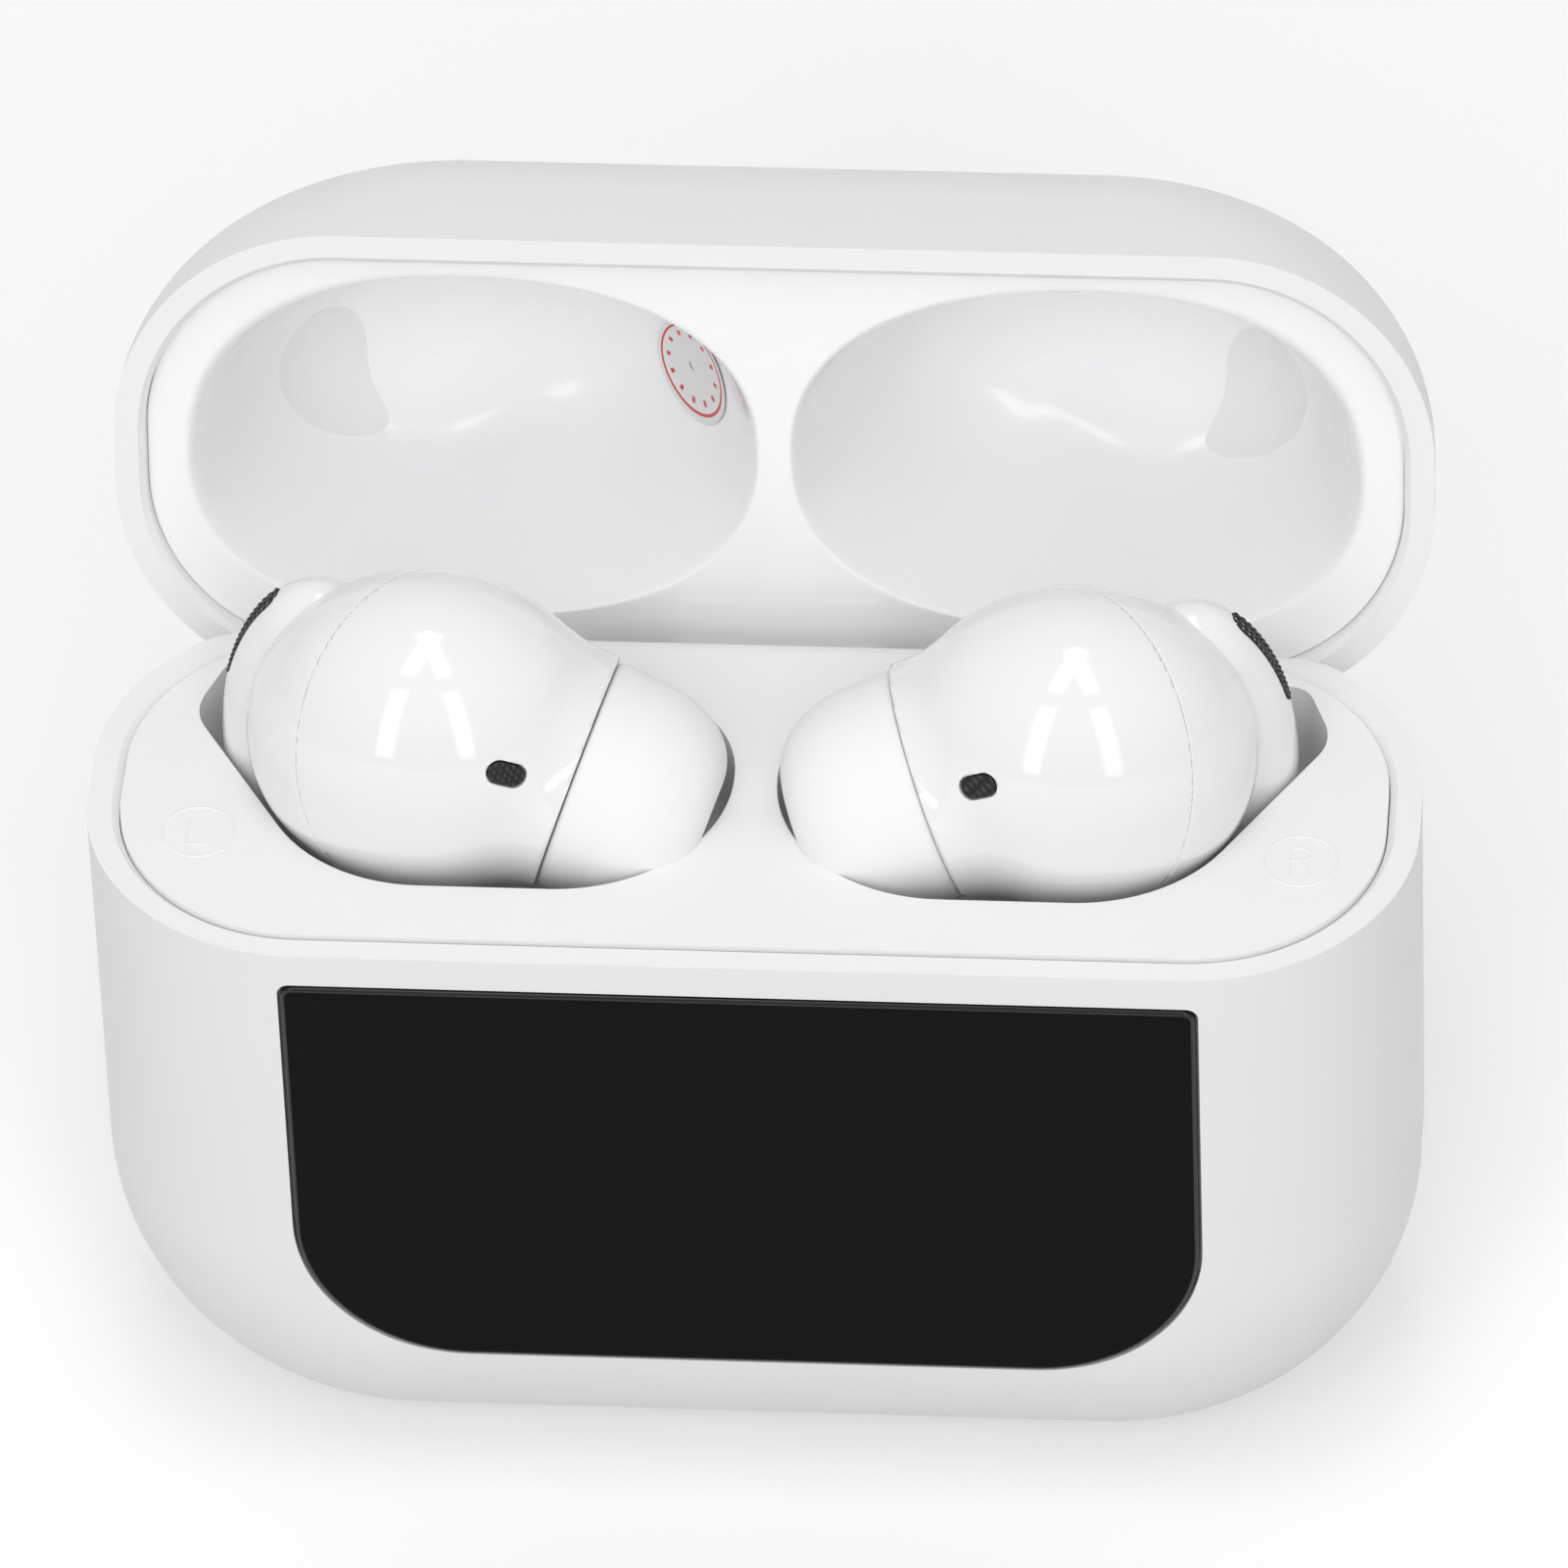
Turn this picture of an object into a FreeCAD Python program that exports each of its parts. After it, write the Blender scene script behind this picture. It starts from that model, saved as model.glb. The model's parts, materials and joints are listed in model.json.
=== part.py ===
import FreeCAD, Part
import Sketcher
import os
import re

# Wireless earbuds case: charging case with a touch screen on its front, standing open with both
# earbuds in their cradles. Millimetres. +X is to the right seen from the screen, +Y is the hinge
# side and +Z is up. The origin is the middle of the flat under the case, at the charging port's mouth.

os.makedirs("parts", exist_ok=True)
doc = FreeCAD.newDocument("EarbudsCase")
sizes = doc.addObject("Spreadsheet::Sheet", "Sizes")

DRIVING = {
    # case envelope: rim is the height of the parting plane between base and lid
    "case_width": 62.0, "case_depth": 23.8, "rim": 34.05, "lid_height": 16.45,
    "base_corner": 14.8, "lid_corner": 16.1, "edge_round": 10.6, "foot_cut": 0.3,
    "base_wall": 1.5, "lid_wall": 1.42, "rim_chamfer": 0.35, "seam_gap": 0.05,
    # hinge: the pin runs along X, near the top of the rear wall
    "hinge_back": 10.13, "hinge_drop": 2.27, "open_angle": 103.5, "rear_round": 2.1,
    "pin_radius": 0.8, "pin_fit": 0.05, "knuckle_radius": 1.75, "hinge_half": 14.8,
    "leaf_half": 5.0, "leaf_outer": 11.8, "leaf_inner": 10.4, "leaf_thick": 0.65,
    "coil_start": 5.25, "coil_end": 8.75, "coil_radius": 1.22, "coil_pitch": 0.56, "wire_radius": 0.24,
    "knuckle_start": 9.0, "notch_gap": 0.4, "notch_drop": 4.75,
    # tray with the two cradles
    "tray_thick": 1.6, "pocket_wall": 0.75, "pocket_depth": 7.2, "pocket_floor": 0.8,
    "pocket_inner": 1.0, "pocket_front": 6.8, "pocket_rear": 7.45, "pocket_rear_outer": 8.6,
    "pocket_nose_front": 8.0, "pocket_nose_rear": 6.0, "pocket_bend": 8.0, "pocket_corner": 2.6,
    "pocket_bottom_round": 2.5, "pocket_turn_x": 19.6, "pocket_side_x": 26.7, "pocket_side_y": 4.9,
    "pocket_heel_x": 25.3, "pocket_step_x": 20.8, "pocket_step_start": 18.3, "pocket_small_round": 1.2,
    "pocket_step_round": 1.5, "lip_front": 8.8, "lip_reach": 2.2, "lip_thick": 0.8,
    "magnet_wide": 4.2, "magnet_deep": 2.4, "magnet_high": 1.5, "magnet_front": 9.9, "magnet_drop": 0.6,
    # lid liner with the two domed recesses
    "liner_drop": 1.0, "recess_inner": 0.8, "recess_outer": 26.85, "recess_front": 9.5,
    "recess_rear": 7.4, "liner_wall": 0.8, "sticker_radius": 2.7, "sticker_x": 3.7, "sticker_y": 0.7,
    # screen on the front
    "glass_width": 42.3, "glass_top": 1.92, "glass_bottom": 24.99, "glass_thick": 0.8,
    "glass_corner": 7.93, "glass_proud": 0.1, "glass_gap": 0.12, "ink_thick": 0.1,
    "active_width": 33.3, "active_top": 3.4, "active_bottom": 21.9, "panel_border": 1.2,
    "panel_thick": 1.8,
    # inside the base
    "battery_width": 33.0, "battery_thick": 5.8, "battery_height": 19.5, "battery_front": -7.8,
    "battery_top": 9.6, "board_width": 34.0, "board_thick": 1.0, "board_front": 1.75,
    "board_top": 9.6, "board_bottom": 32.1,
    "port_width": 8.94, "port_thick": 3.2, "port_length": 7.35, "port_wall": 0.3,
    "port_inset": 0.35, "tongue_width": 6.7, "tongue_thick": 0.7, "port_slot_gap": 0.12,
    "button_radius": 2.0, "button_drop": 14.0, "button_gap": 0.12, "button_flange": 2.7,
    "button_cap": 1.6, "button_travel": 0.3, "switch_size": 3.5, "switch_thick": 1.8,
    # one earbud, in place in the right cradle; the left one is its mirror image
    "head_x": 15.1, "head_y": 0.4, "head_z": 3.2, "head_wide": 8.45, "head_deep": 6.8,
    "head_high": 8.1, "bud_wall": 0.85, "shell_seam": 0.7,
    # the collar is the head's taper towards the ear tip; it ends in a flat rim where the tip begins
    "collar_start": 1.0, "collar_root": 5.9, "collar_rim": 5.7, "rim_at": 7.3, "spout_back": 0.98,
    "shoulder_x": 20.3, "shoulder_y": 3.6, "shoulder_wide": 4.85, "shoulder_deep": 3.6,
    "shoulder_high": 9.2, "shoulder_seat": 6.5,
    "vent_x": 21.6, "vent_y": 3.1, "vent_z": 3.6, "vent_wide": 1.7, "vent_long": 5.4, "vent_thick": 0.35,
    "pill_long": 1.9, "pill_wide": 1.05, "pill_thick": 0.5, "pill_sunk": 0.45, "pill_gap": 0.08,
    "stem_x": 21.0, "stem_y": 3.0, "stem_radius": 2.9, "stem_bottom": 25.0, "stem_wall": 0.7,
    "cap_height": 3.0, "well_gap": 0.25, "well_wall": 0.8, "well_bottom": 25.6,
    "tip_length": 6.5, "tip_wall": 0.75, "tip_hollow": 4.2, "tip_radius": 5.5,
    "tip_round": 4.3, "tip_gap": 0.12,
    "nozzle_radius": 2.2, "nozzle_bore": 1.5, "nozzle_start": 5.6, "nozzle_length": 5.6,
    "contact_radius": 0.75, "contact_thick": 0.4, "contact_pitch": 2.6,
    "probe_radius": 0.4, "probe_gap": 0.05, "probe_length": 3.2,
}


def fill_sheet():
    for row, (alias, size) in enumerate(DRIVING.items(), start=1):
        sizes.set(f"A{row}", alias)
        sizes.set(f"B{row}", str(size))
        sizes.setAlias(f"B{row}", alias)
    doc.recompute()


def sheet_text(text):
    """Turn a formula written with bare cell names into one that the document understands."""
    return re.sub(r"[a-z_]{3,}", lambda word: ("Sizes." if word[0] in DRIVING else "") + word[0], text)


def number(text):
    """The present value of a formula."""
    return float(sizes.evalExpression(sheet_text(str(text))))


def bind(thing, **formulas):
    for prop, formula in formulas.items():
        thing.setExpression(prop, sheet_text(str(formula)))
    return thing


def place(thing, x=0, y=0, z=0, turn=None):
    """Put a piece at x, y, z (formulas), turned first by a rotation."""
    where = FreeCAD.Vector(number(x), number(y), number(z))
    thing.Placement = FreeCAD.Placement(where, turn or FreeCAD.Rotation())
    for axis, formula in (("x", x), ("y", y), ("z", z)):
        thing.setExpression(f".Placement.Base.{axis}", sheet_text(str(formula)))
    return thing


def towards(direction):
    return FreeCAD.Rotation(FreeCAD.Vector(0, 0, 1), FreeCAD.Vector(*direction))


# ---------------------------------------------------------------------------------------------
# building blocks

def box(name, length, width, height, x, y, z):
    made = bind(doc.addObject("Part::Box", name), Length=length, Width=width, Height=height)
    return place(made, x, y, z)


def cylinder(name, radius, height, x, y, z, direction=(0, 0, 1)):
    made = bind(doc.addObject("Part::Cylinder", name), Radius=radius, Height=height)
    return place(made, x, y, z, towards(direction))


def ellipsoid(name, wide, deep, high, x, y, z):
    made = doc.addObject("Part::Ellipsoid", name)
    bind(made, Radius1=high, Radius2=wide, Radius3=deep)
    return place(made, x, y, z)


def fuse(name, *shapes):
    made = doc.addObject("Part::MultiFuse", name)
    made.Shapes = list(shapes)
    made.Refine = True
    return made


def common(name, *shapes):
    made = doc.addObject("Part::MultiCommon", name)
    made.Shapes = list(shapes)
    made.Refine = True
    return made


def cut(name, base, *tools):
    made = doc.addObject("Part::Cut", name)
    made.Base = base
    made.Tool = tools[0] if len(tools) == 1 else fuse(name + "_tools", *tools)
    made.Refine = True
    return made


def mirror(name, source):
    """The same shape on the other side of the middle plane."""
    made = doc.addObject("Part::Mirroring", name)
    made.Source = source
    made.Normal = FreeCAD.Vector(1, 0, 0)
    return made


def group(name, *shapes):
    """Several loose solids kept as one piece."""
    made = doc.addObject("Part::Compound", name)
    made.Links = list(shapes)
    return made


def both_sides(name, source):
    return group(name, source, mirror(name + "_other", source))


def body_plane(body, role):
    return next(plane for plane in body.Origin.OriginFeatures if plane.Role == role)


def polygon_body(name, corners, length, role="XY_Plane", midplane=False, reverse=False):
    """A body whose sketch is a closed polygon, each corner tied to the sheet, padded by length."""
    body = doc.addObject("PartDesign::Body", name)
    sketch = body.newObject("Sketcher::SketchObject", name + "_outline")
    sketch.AttachmentSupport = [(body_plane(body, role), "")]
    sketch.MapMode = "FlatFace"
    points = [FreeCAD.Vector(number(u), number(v), 0) for u, v in corners]
    for start, end in zip(points, points[1:] + points[:1]):
        sketch.addGeometry(Part.LineSegment(start, end), False)
    for i, (u, v) in enumerate(corners):
        sketch.addConstraint(Sketcher.Constraint("Coincident", i - 1 if i else len(corners) - 1, 2, i, 1))
        for kind, formula in (("DistanceX", u), ("DistanceY", v)):
            index = sketch.addConstraint(Sketcher.Constraint(kind, -1, 1, i, 1, number(formula)))
            sketch.renameConstraint(index, f"{kind[-1].lower()}_{i}")
            sketch.setExpression(f"Constraints.{kind[-1].lower()}_{i}", sheet_text(str(formula)))
    pad = body.newObject("PartDesign::Pad", name + "_pad")
    pad.Profile = sketch
    pad.Midplane = midplane
    pad.Reversed = reverse
    bind(pad, Length=length)
    doc.recompute()
    return body


def round_edges(body, radius, wanted):
    """Round every edge of the body for which wanted(edge) holds."""
    fillet = body.newObject("PartDesign::Fillet", body.Name + "_round")
    base = fillet.BaseFeature or body.Tip
    names = [f"Edge{i}" for i, edge in enumerate(base.Shape.Edges, start=1) if wanted(edge)]
    fillet.Base = (base, names)
    bind(fillet, Radius=radius)
    body.Tip = fillet
    doc.recompute()
    return body


def on_face(edge, y, mouth):
    """True for an edge that lies in the plane at y, apart from the one along the mouth."""
    box_of = edge.BoundBox
    flat = abs(box_of.YMin - y) < 1e-4 and abs(box_of.YMax - y) < 1e-4
    return flat and not (abs(box_of.ZMin - mouth) < 1e-4 and abs(box_of.ZMax - mouth) < 1e-4)


def envelope(name, inset, mouth, end, corner):
    """The rounded half-case block: a flat slab with round end corners and rounded front and back."""
    half_width = f"(case_width / 2 - {inset})"
    outline = [("-" + half_width, mouth), (half_width, mouth), (half_width, end), ("-" + half_width, end)]
    body = polygon_body(name, outline, f"case_depth - 2 * {inset}", "XZ_Plane", midplane=True)
    end_height = number(end)
    mouth_height = number(mouth)
    half_depth = number(f"case_depth / 2 - {inset}")
    round_edges(body, f"{corner} - {inset}",
                lambda e: abs(e.BoundBox.ZMin - end_height) < 1e-4 and e.BoundBox.ZLength < 1e-4
                and e.BoundBox.XLength < 1e-4)
    return round_edges(body, f"edge_round - {inset}",
                       lambda e: any(on_face(e, y, mouth_height) for y in (half_depth, -half_depth)))


def finish(label, shape):
    """Name a finished sub-part; its label is the name of its file."""
    shape.Label = label
    subparts.append(shape)
    return shape


subparts = []
fill_sheet()

# ---------------------------------------------------------------------------------------------
# pieces of space that several sub-parts share

rear_round_keep = cylinder("rear_round_keep", "rear_round", "case_width", "-case_width / 2",
                           "case_depth / 2 - rear_round", "rim - rear_round", (1, 0, 0))
rear_round_corner = box("rear_round_corner", "case_width", "rear_round + 1", "rear_round + 1",
                        "-case_width / 2", "case_depth / 2 - rear_round", "rim - rear_round")
rear_round_cut = cut("rear_round_cut", rear_round_corner, rear_round_keep)
hinge_room = cylinder("hinge_room", "knuckle_radius + 0.1", "2 * (hinge_half + notch_gap)",
                      "-hinge_half - notch_gap", "hinge_back", "rim - hinge_drop", (1, 0, 0))


def pocket_corners(grow):
    """Plan outline of the right cradle, from its inner end at the front, anticlockwise."""
    return [
        (f"pocket_inner - {grow}", f"-pocket_front - {grow}"),
        (f"pocket_turn_x + {grow} * 0.56", f"-pocket_front - {grow}"),
        (f"pocket_side_x + {grow}", "pocket_side_y"),
        (f"pocket_heel_x + {grow}", f"pocket_rear_outer + {grow}"),
        ("pocket_step_x", f"pocket_rear_outer + {grow}"),
        ("pocket_step_start", f"pocket_rear + {grow}"),
        (f"pocket_inner - {grow}", f"pocket_rear + {grow}"),
    ]


def upright_at(u, v):
    """Selects the upright edge over the plan point u, v."""
    x, y = number(u), number(v)
    return lambda e: (e.BoundBox.ZLength > 1 and abs(e.BoundBox.XMin - x) < 1e-3
                      and abs(e.BoundBox.XMax - x) < 1e-3 and abs(e.BoundBox.YMin - y) < 1e-3
                      and abs(e.BoundBox.YMax - y) < 1e-3)


def pocket_block(name, grow, depth):
    """The cradle's plan outline as a block, its mouth at the rim and its floor rounded."""
    corners = pocket_corners(grow)
    body = polygon_body(name, corners, depth, reverse=True)
    radii = [f"pocket_nose_front + {grow}", f"pocket_bend + {grow}", f"pocket_corner + {grow}",
             "pocket_small_round", "pocket_step_round", "pocket_step_round", f"pocket_nose_rear + {grow}"]
    for corner, radius in zip(corners, radii):
        round_edges(body, radius, upright_at(*corner))
    floor = number(f"-{depth}")
    round_edges(body, f"pocket_bottom_round + {grow}",
                lambda e: abs(e.BoundBox.ZMin - floor) < 1e-4 and e.BoundBox.ZLength < 1e-4)
    return place(body, z="rim")


def recess_prism(name, grow):
    """Plan outline of a recess of the lid's liner, drawn closed; its mouth is the liner's face."""
    corners = [
        (f"recess_inner - {grow}", f"-recess_front - 2"),
        (f"recess_outer - 1.3 + {grow} * 0.7", f"-recess_front - 2"),
        (f"recess_outer + {grow}", "1.0"),
        (f"recess_outer - 1.8 + {grow} * 0.7", f"recess_rear + {grow}"),
        (f"recess_inner - {grow}", f"recess_rear + {grow}"),
    ]
    body = polygon_body(name, corners, "lid_height")
    radii = [f"9.5 + {grow}", f"5.5 + {grow}", f"12 + {grow}", f"2.2 + {grow}", f"6.0 + {grow}"]
    for corner, radius in zip(corners, radii):
        round_edges(body, radius, upright_at(*corner))
    return place(body, z="rim + liner_drop")


def edges_of(shape, radius, wanted, kind="Part::Fillet"):
    """Round (or chamfer) the wanted edges of a finished boolean."""
    doc.recompute()
    made = doc.addObject(kind, shape.Name + "_edged")
    made.Base = shape
    size = number(radius)
    made.Edges = [(i, size, size) for i, edge in enumerate(shape.Shape.Edges, start=1) if wanted(edge)]
    return made


# ---------------------------------------------------------------------------------------------
# base shell

outer_base = envelope("outer_base", "0", "rim", "-foot_cut", "base_corner")
inner_base = envelope("inner_base", "base_wall", "rim", "base_wall - foot_cut", "base_corner")
foot_box = box("foot_box", "case_width", "case_depth", "1", "-case_width / 2", "-case_depth / 2", "-1")
hollow_base = cut("hollow_base", outer_base, inner_base, foot_box)


def on_inner_rim(inset, height):
    """Selects the inner edge of a rim at the given height."""
    half_width = number(f"case_width / 2 - {inset}") + 1e-3
    level = number(height)
    half_depth = number(f"case_depth / 2 - {inset}") + 1e-3
    return lambda e: (e.BoundBox.ZLength < 1e-4 and abs(e.BoundBox.ZMin - level) < 1e-4
                      and max(abs(e.BoundBox.XMin), abs(e.BoundBox.XMax)) < half_width
                      and max(abs(e.BoundBox.YMin), abs(e.BoundBox.YMax)) < half_depth)


rimmed_base = edges_of(hollow_base, "rim_chamfer", on_inner_rim("base_wall", "rim"), "Part::Chamfer")


def screen_plate(name, grow, thick, outer_face):
    """A plate with the screen glass's outline: square top corners, large bottom ones."""
    half = f"(glass_width / 2 + {grow})"
    top, bottom = f"rim - glass_top + {grow}", f"rim - glass_bottom - {grow}"
    body = polygon_body(name, [("-" + half, top), (half, top), (half, bottom), ("-" + half, bottom)],
                        thick, "XZ_Plane", midplane=True)
    low, high = number(bottom), number(top)
    round_edges(body, f"glass_corner + {grow}",
                lambda e: abs(e.BoundBox.ZMax - low) < 1e-4 and e.BoundBox.XLength < 1e-4)
    round_edges(body, "0.6", lambda e: abs(e.BoundBox.ZMin - high) < 1e-4 and e.BoundBox.XLength < 1e-4)
    return place(body, y=f"{outer_face} + {thick} / 2")


front = "-case_depth / 2"
screen_seat = screen_plate("screen_seat", "glass_gap", "(glass_thick + 1)", f"{front} - 1")
panel_window = box("panel_window", "active_width + 2 * panel_border + 0.3", "4",
                   "active_bottom - active_top + 2 * panel_border + 0.3",
                   "-active_width / 2 - panel_border - 0.15", f"{front} - 1",
                   "rim - active_bottom - panel_border - 0.15")
hinge_notch = box("hinge_notch", "2 * (hinge_half + notch_gap)", "4", "notch_drop + 1",
                  "-hinge_half - notch_gap", "hinge_back - 1", "rim - notch_drop")


def stadium(name, width, thick, height, x, y, z):
    """An upright block with round ends."""
    half_w, half_t = f"({width}) / 2", f"({thick}) / 2"
    body = polygon_body(name, [("-" + half_w, "-" + half_t), (half_w, "-" + half_t), (half_w, half_t),
                               ("-" + half_w, half_t)], height)
    round_edges(body, f"{half_t} - 0.01", lambda e: e.BoundBox.ZLength > 0.1)
    return place(body, x, y, z)


port_slot = stadium("port_slot", "port_width + 2 * port_slot_gap", "port_thick + 2 * port_slot_gap",
                    "4", "0", "0", "-1")
button_hole = cylinder("button_hole", "button_radius + button_gap", "4", "0", "case_depth / 2 - 3",
                       "rim - button_drop", (0, 1, 0))


def screws(name, x, back, z):
    """A mirrored pair of small screws, heads to the front, shanks running back into the wall."""
    shank = cylinder(name + "_shank", "0.6", "1.55", x, back, z, (0, 1, 0))
    head = cylinder(name + "_head", "1.0", "0.5", x, f"{back} - 0.5", z, (0, 1, 0))
    return both_sides(name + "_pair", fuse(name + "_screw", shank, head))


bracket_back = "case_depth / 2 - base_wall - 0.1 - leaf_thick"
bracket_screws = screws("bracket_screws", "6", bracket_back, "rim - 7.8")
base_shell = finish("base_shell", cut("base_shell", rimmed_base, rear_round_cut, screen_seat, panel_window,
                                      hinge_notch, port_slot, button_hole, bracket_screws))
finish("bracket_screws", bracket_screws)

# ---------------------------------------------------------------------------------------------
# screen: glass, its black printed back, the panel and its ribbon

glass_face = f"{front} - glass_proud"
finish("display_glass", screen_plate("glass", "0", "glass_thick", glass_face))
ink_window = box("ink_window", "active_width", "3", "active_bottom - active_top", "-active_width / 2",
                 f"{front} - 1", "rim - active_bottom")
ink_plate = screen_plate("ink_plate", "-0.05", "ink_thick", f"{glass_face} + glass_thick")
finish("display_mask", cut("ink", ink_plate, ink_window))
panel_front = f"({glass_face} + glass_thick + ink_thick)"
finish("display_panel", box("panel", "active_width + 2 * panel_border", "panel_thick",
                            "active_bottom - active_top + 2 * panel_border",
                            "-active_width / 2 - panel_border", panel_front,
                            "rim - active_bottom - panel_border"))
panel_back = f"({panel_front} + panel_thick)"
RIBBON_X, RIBBON_WIDTH, RIBBON_THICK = "-8", "8", "0.15"
ribbon_top = "rim - battery_top + 0.5"
finish("display_ribbon", fuse(
    "ribbon",
    box("ribbon_front", RIBBON_WIDTH, RIBBON_THICK, "5", RIBBON_X, panel_back, f"{ribbon_top} - 5"),
    box("ribbon_over", RIBBON_WIDTH, f"board_front - {panel_back}", RIBBON_THICK, RIBBON_X, panel_back,
        f"{ribbon_top} - {RIBBON_THICK}"),
    box("ribbon_down", RIBBON_WIDTH, RIBBON_THICK, "4", RIBBON_X, f"board_front - {RIBBON_THICK}",
        f"{ribbon_top} - 4")))

# ---------------------------------------------------------------------------------------------
# electronics in the base

finish("main_board", box("board", "board_width - 0.4", "board_thick", "board_bottom - board_top",
                         "0.2 - board_width / 2", "board_front", "rim - board_bottom"))
board_back = "board_front + board_thick"
finish("processor_chip", box("processor", "6", "0.9", "6", "-11", board_back, "rim - 21"))
finish("charger_chip", box("charger", "4", "0.8", "4", "6", board_back, "rim - 29"))
finish("memory_chip", box("memory", "5", "0.8", "4", "-10", board_back, "rim - 28"))
finish("hall_sensor", box("hall", "1.6", "0.6", "1.6", "10", board_back, "rim - 12"))
finish("display_connector", box("connector", "7", "0.7", "2.2", "-7.5",
                                f"board_front - {RIBBON_THICK} - 0.7", "rim - battery_top - 2.8"))
cell_block = box("battery_block", "battery_width", "battery_thick", "battery_height",
                 "-battery_width / 2", "battery_front", "rim - battery_top - battery_height")
finish("battery", edges_of(cell_block, "1.2", lambda e: e.BoundBox.ZLength > 1))

port_outer = stadium("port_outer", "port_width", "port_thick", "port_length", "0", "0", "port_inset")
port_inner = stadium("port_inner", "port_width - 2 * port_wall", "port_thick - 2 * port_wall",
                     "port_length - port_wall", "0", "0", "port_inset")
port_tabs = both_sides("port_tabs", box("port_tab", "1.5", "board_front - 1.2", "3", "1.8", "1.2",
                                        "port_inset + 3"))
finish("charging_port", cut("port_shell", fuse("port_tabbed", port_outer, port_tabs), port_inner))
tongue_block = stadium("tongue_block", "port_width - 2 * port_wall", "port_thick - 2 * port_wall", "1.8",
                       "0", "0", "port_inset + port_length - port_wall - 1.8")
tongue_blade = box("tongue_blade", "tongue_width", "tongue_thick", "4.6", "-tongue_width / 2",
                   "-tongue_thick / 2", "port_inset + port_length - port_wall - 1.8 - 4.6")
finish("port_tongue", fuse("tongue", tongue_block, tongue_blade))

# ---------------------------------------------------------------------------------------------
# pairing button in the rear wall and the switch behind it

switch_body = box("switch_body", "switch_size", "switch_thick", "switch_size", "-switch_size / 2", board_back,
                  "rim - button_drop - switch_size / 2")
switch_tip = cylinder("switch_tip", "0.8", "0.6", "0", f"{board_back} + switch_thick", "rim - button_drop",
                      (0, 1, 0))
finish("pairing_switch", fuse("switch", switch_body, switch_tip))
wall_inside = "case_depth / 2 - base_wall"
stem_front = f"({board_back} + switch_thick + 0.6 + button_travel + 0.03)"
button_face = cylinder("button_face", "button_radius", "button_cap + 0.1", "0", f"{wall_inside} - 0.2",
                       "rim - button_drop", (0, 1, 0))
button_flange = cylinder("button_flange", "button_flange", "0.6", "0", f"{wall_inside} - 0.65",
                         "rim - button_drop", (0, 1, 0))
button_stem = cylinder("button_stem", "0.9", f"{wall_inside} - 0.3 - {stem_front}", "0", stem_front,
                       "rim - button_drop", (0, 1, 0))
finish("pairing_button", fuse("button", button_face, button_flange, button_stem))

# ---------------------------------------------------------------------------------------------
# hinge: bracket in the base, leaf in the lid, one pin and two torsion springs

hinge_height = "rim - hinge_drop"


def barrel(name, start, length, bore):
    """One knuckle on the hinge line."""
    solid = cylinder(name + "_solid", "knuckle_radius", length, start, "hinge_back", hinge_height, (1, 0, 0))
    hole = cylinder(name + "_hole", bore, f"{length} + 2", f"{start} - 1", "hinge_back", hinge_height,
                    (1, 0, 0))
    return solid, hole


side_knuckle, side_bore = barrel("side_knuckle", "knuckle_start", "hinge_half - knuckle_start",
                                 "pin_radius")
bracket_ear = box("bracket_ear", "hinge_half - knuckle_start", "leaf_thick", "3", "knuckle_start",
                  bracket_back, f"{hinge_height} - 3")
bracket_plate = box("bracket_plate", "2 * hinge_half", "leaf_thick", "10.8 - notch_drop + 0.3", "-hinge_half",
                    bracket_back, "rim - 10.8")
bracket_body = fuse("bracket_body", bracket_plate, both_sides("knuckles", fuse("ear", side_knuckle,
                                                                               bracket_ear)))
finish("hinge_bracket", cut("bracket", bracket_body, both_sides("bores", side_bore), bracket_screws))
finish("hinge_pin", cylinder("pin", "pin_radius", "2 * hinge_half", "-hinge_half", "hinge_back",
                             hinge_height, (1, 0, 0)))


def torsion_spring():
    """A coil of round wire lying along the hinge pin."""
    coil = doc.addObject("Part::Helix", "coil_line")
    bind(coil, Radius="coil_radius", Pitch="coil_pitch", Height="coil_end - coil_start - 0.6")
    section = bind(doc.addObject("Part::Circle", "coil_section"), Radius="wire_radius")
    place(section, "coil_radius", turn=FreeCAD.Rotation(FreeCAD.Vector(1, 0, 0), 90))
    doc.recompute()
    sweep = doc.addObject("Part::Sweep", "coil")
    sweep.Sections = [section]
    sweep.Spine = (coil, ["Edge1"])
    sweep.Solid = True
    sweep.Frenet = True
    return place(sweep, "coil_start + 0.3", "hinge_back", hinge_height, towards((1, 0, 0)))


finish("hinge_springs", both_sides("springs", torsion_spring()))

# ---------------------------------------------------------------------------------------------
# tray with the two cradles

tray_outer = envelope("tray_outer", "(base_wall + seam_gap)", "rim", "base_wall - foot_cut", "base_corner")
tray_sheet = box("tray_sheet", "case_width", "case_depth", "tray_thick", "-case_width / 2",
                 "-case_depth / 2", "rim - tray_thick")
cradle_outer = pocket_block("cradle_outer", "pocket_wall", "(pocket_depth + pocket_floor)")
cradle_space = pocket_block("cradle_space", "0", "pocket_depth")
well_top = "rim - pocket_depth"
well_outer = cylinder("well_outer", "stem_radius + well_gap + well_wall",
                      "well_bottom + well_wall - pocket_depth", "stem_x", "stem_y",
                      "rim - well_bottom - well_wall")
well_space = cylinder("well_space", "stem_radius + well_gap", "well_bottom - pocket_depth + 1", "stem_x",
                      "stem_y", "rim - well_bottom")
probe_places = ["stem_x - contact_pitch / 2", "stem_x + contact_pitch / 2"]
probe_holes = [cylinder(f"probe_hole_{i}", "probe_radius + 0.05", "6", x, "stem_y", "rim - well_bottom - 5")
               for i, x in enumerate(probe_places)]
tray_parts = fuse("tray_parts", tray_sheet, both_sides("cradles", fuse("cradle", cradle_outer, well_outer)))
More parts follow.
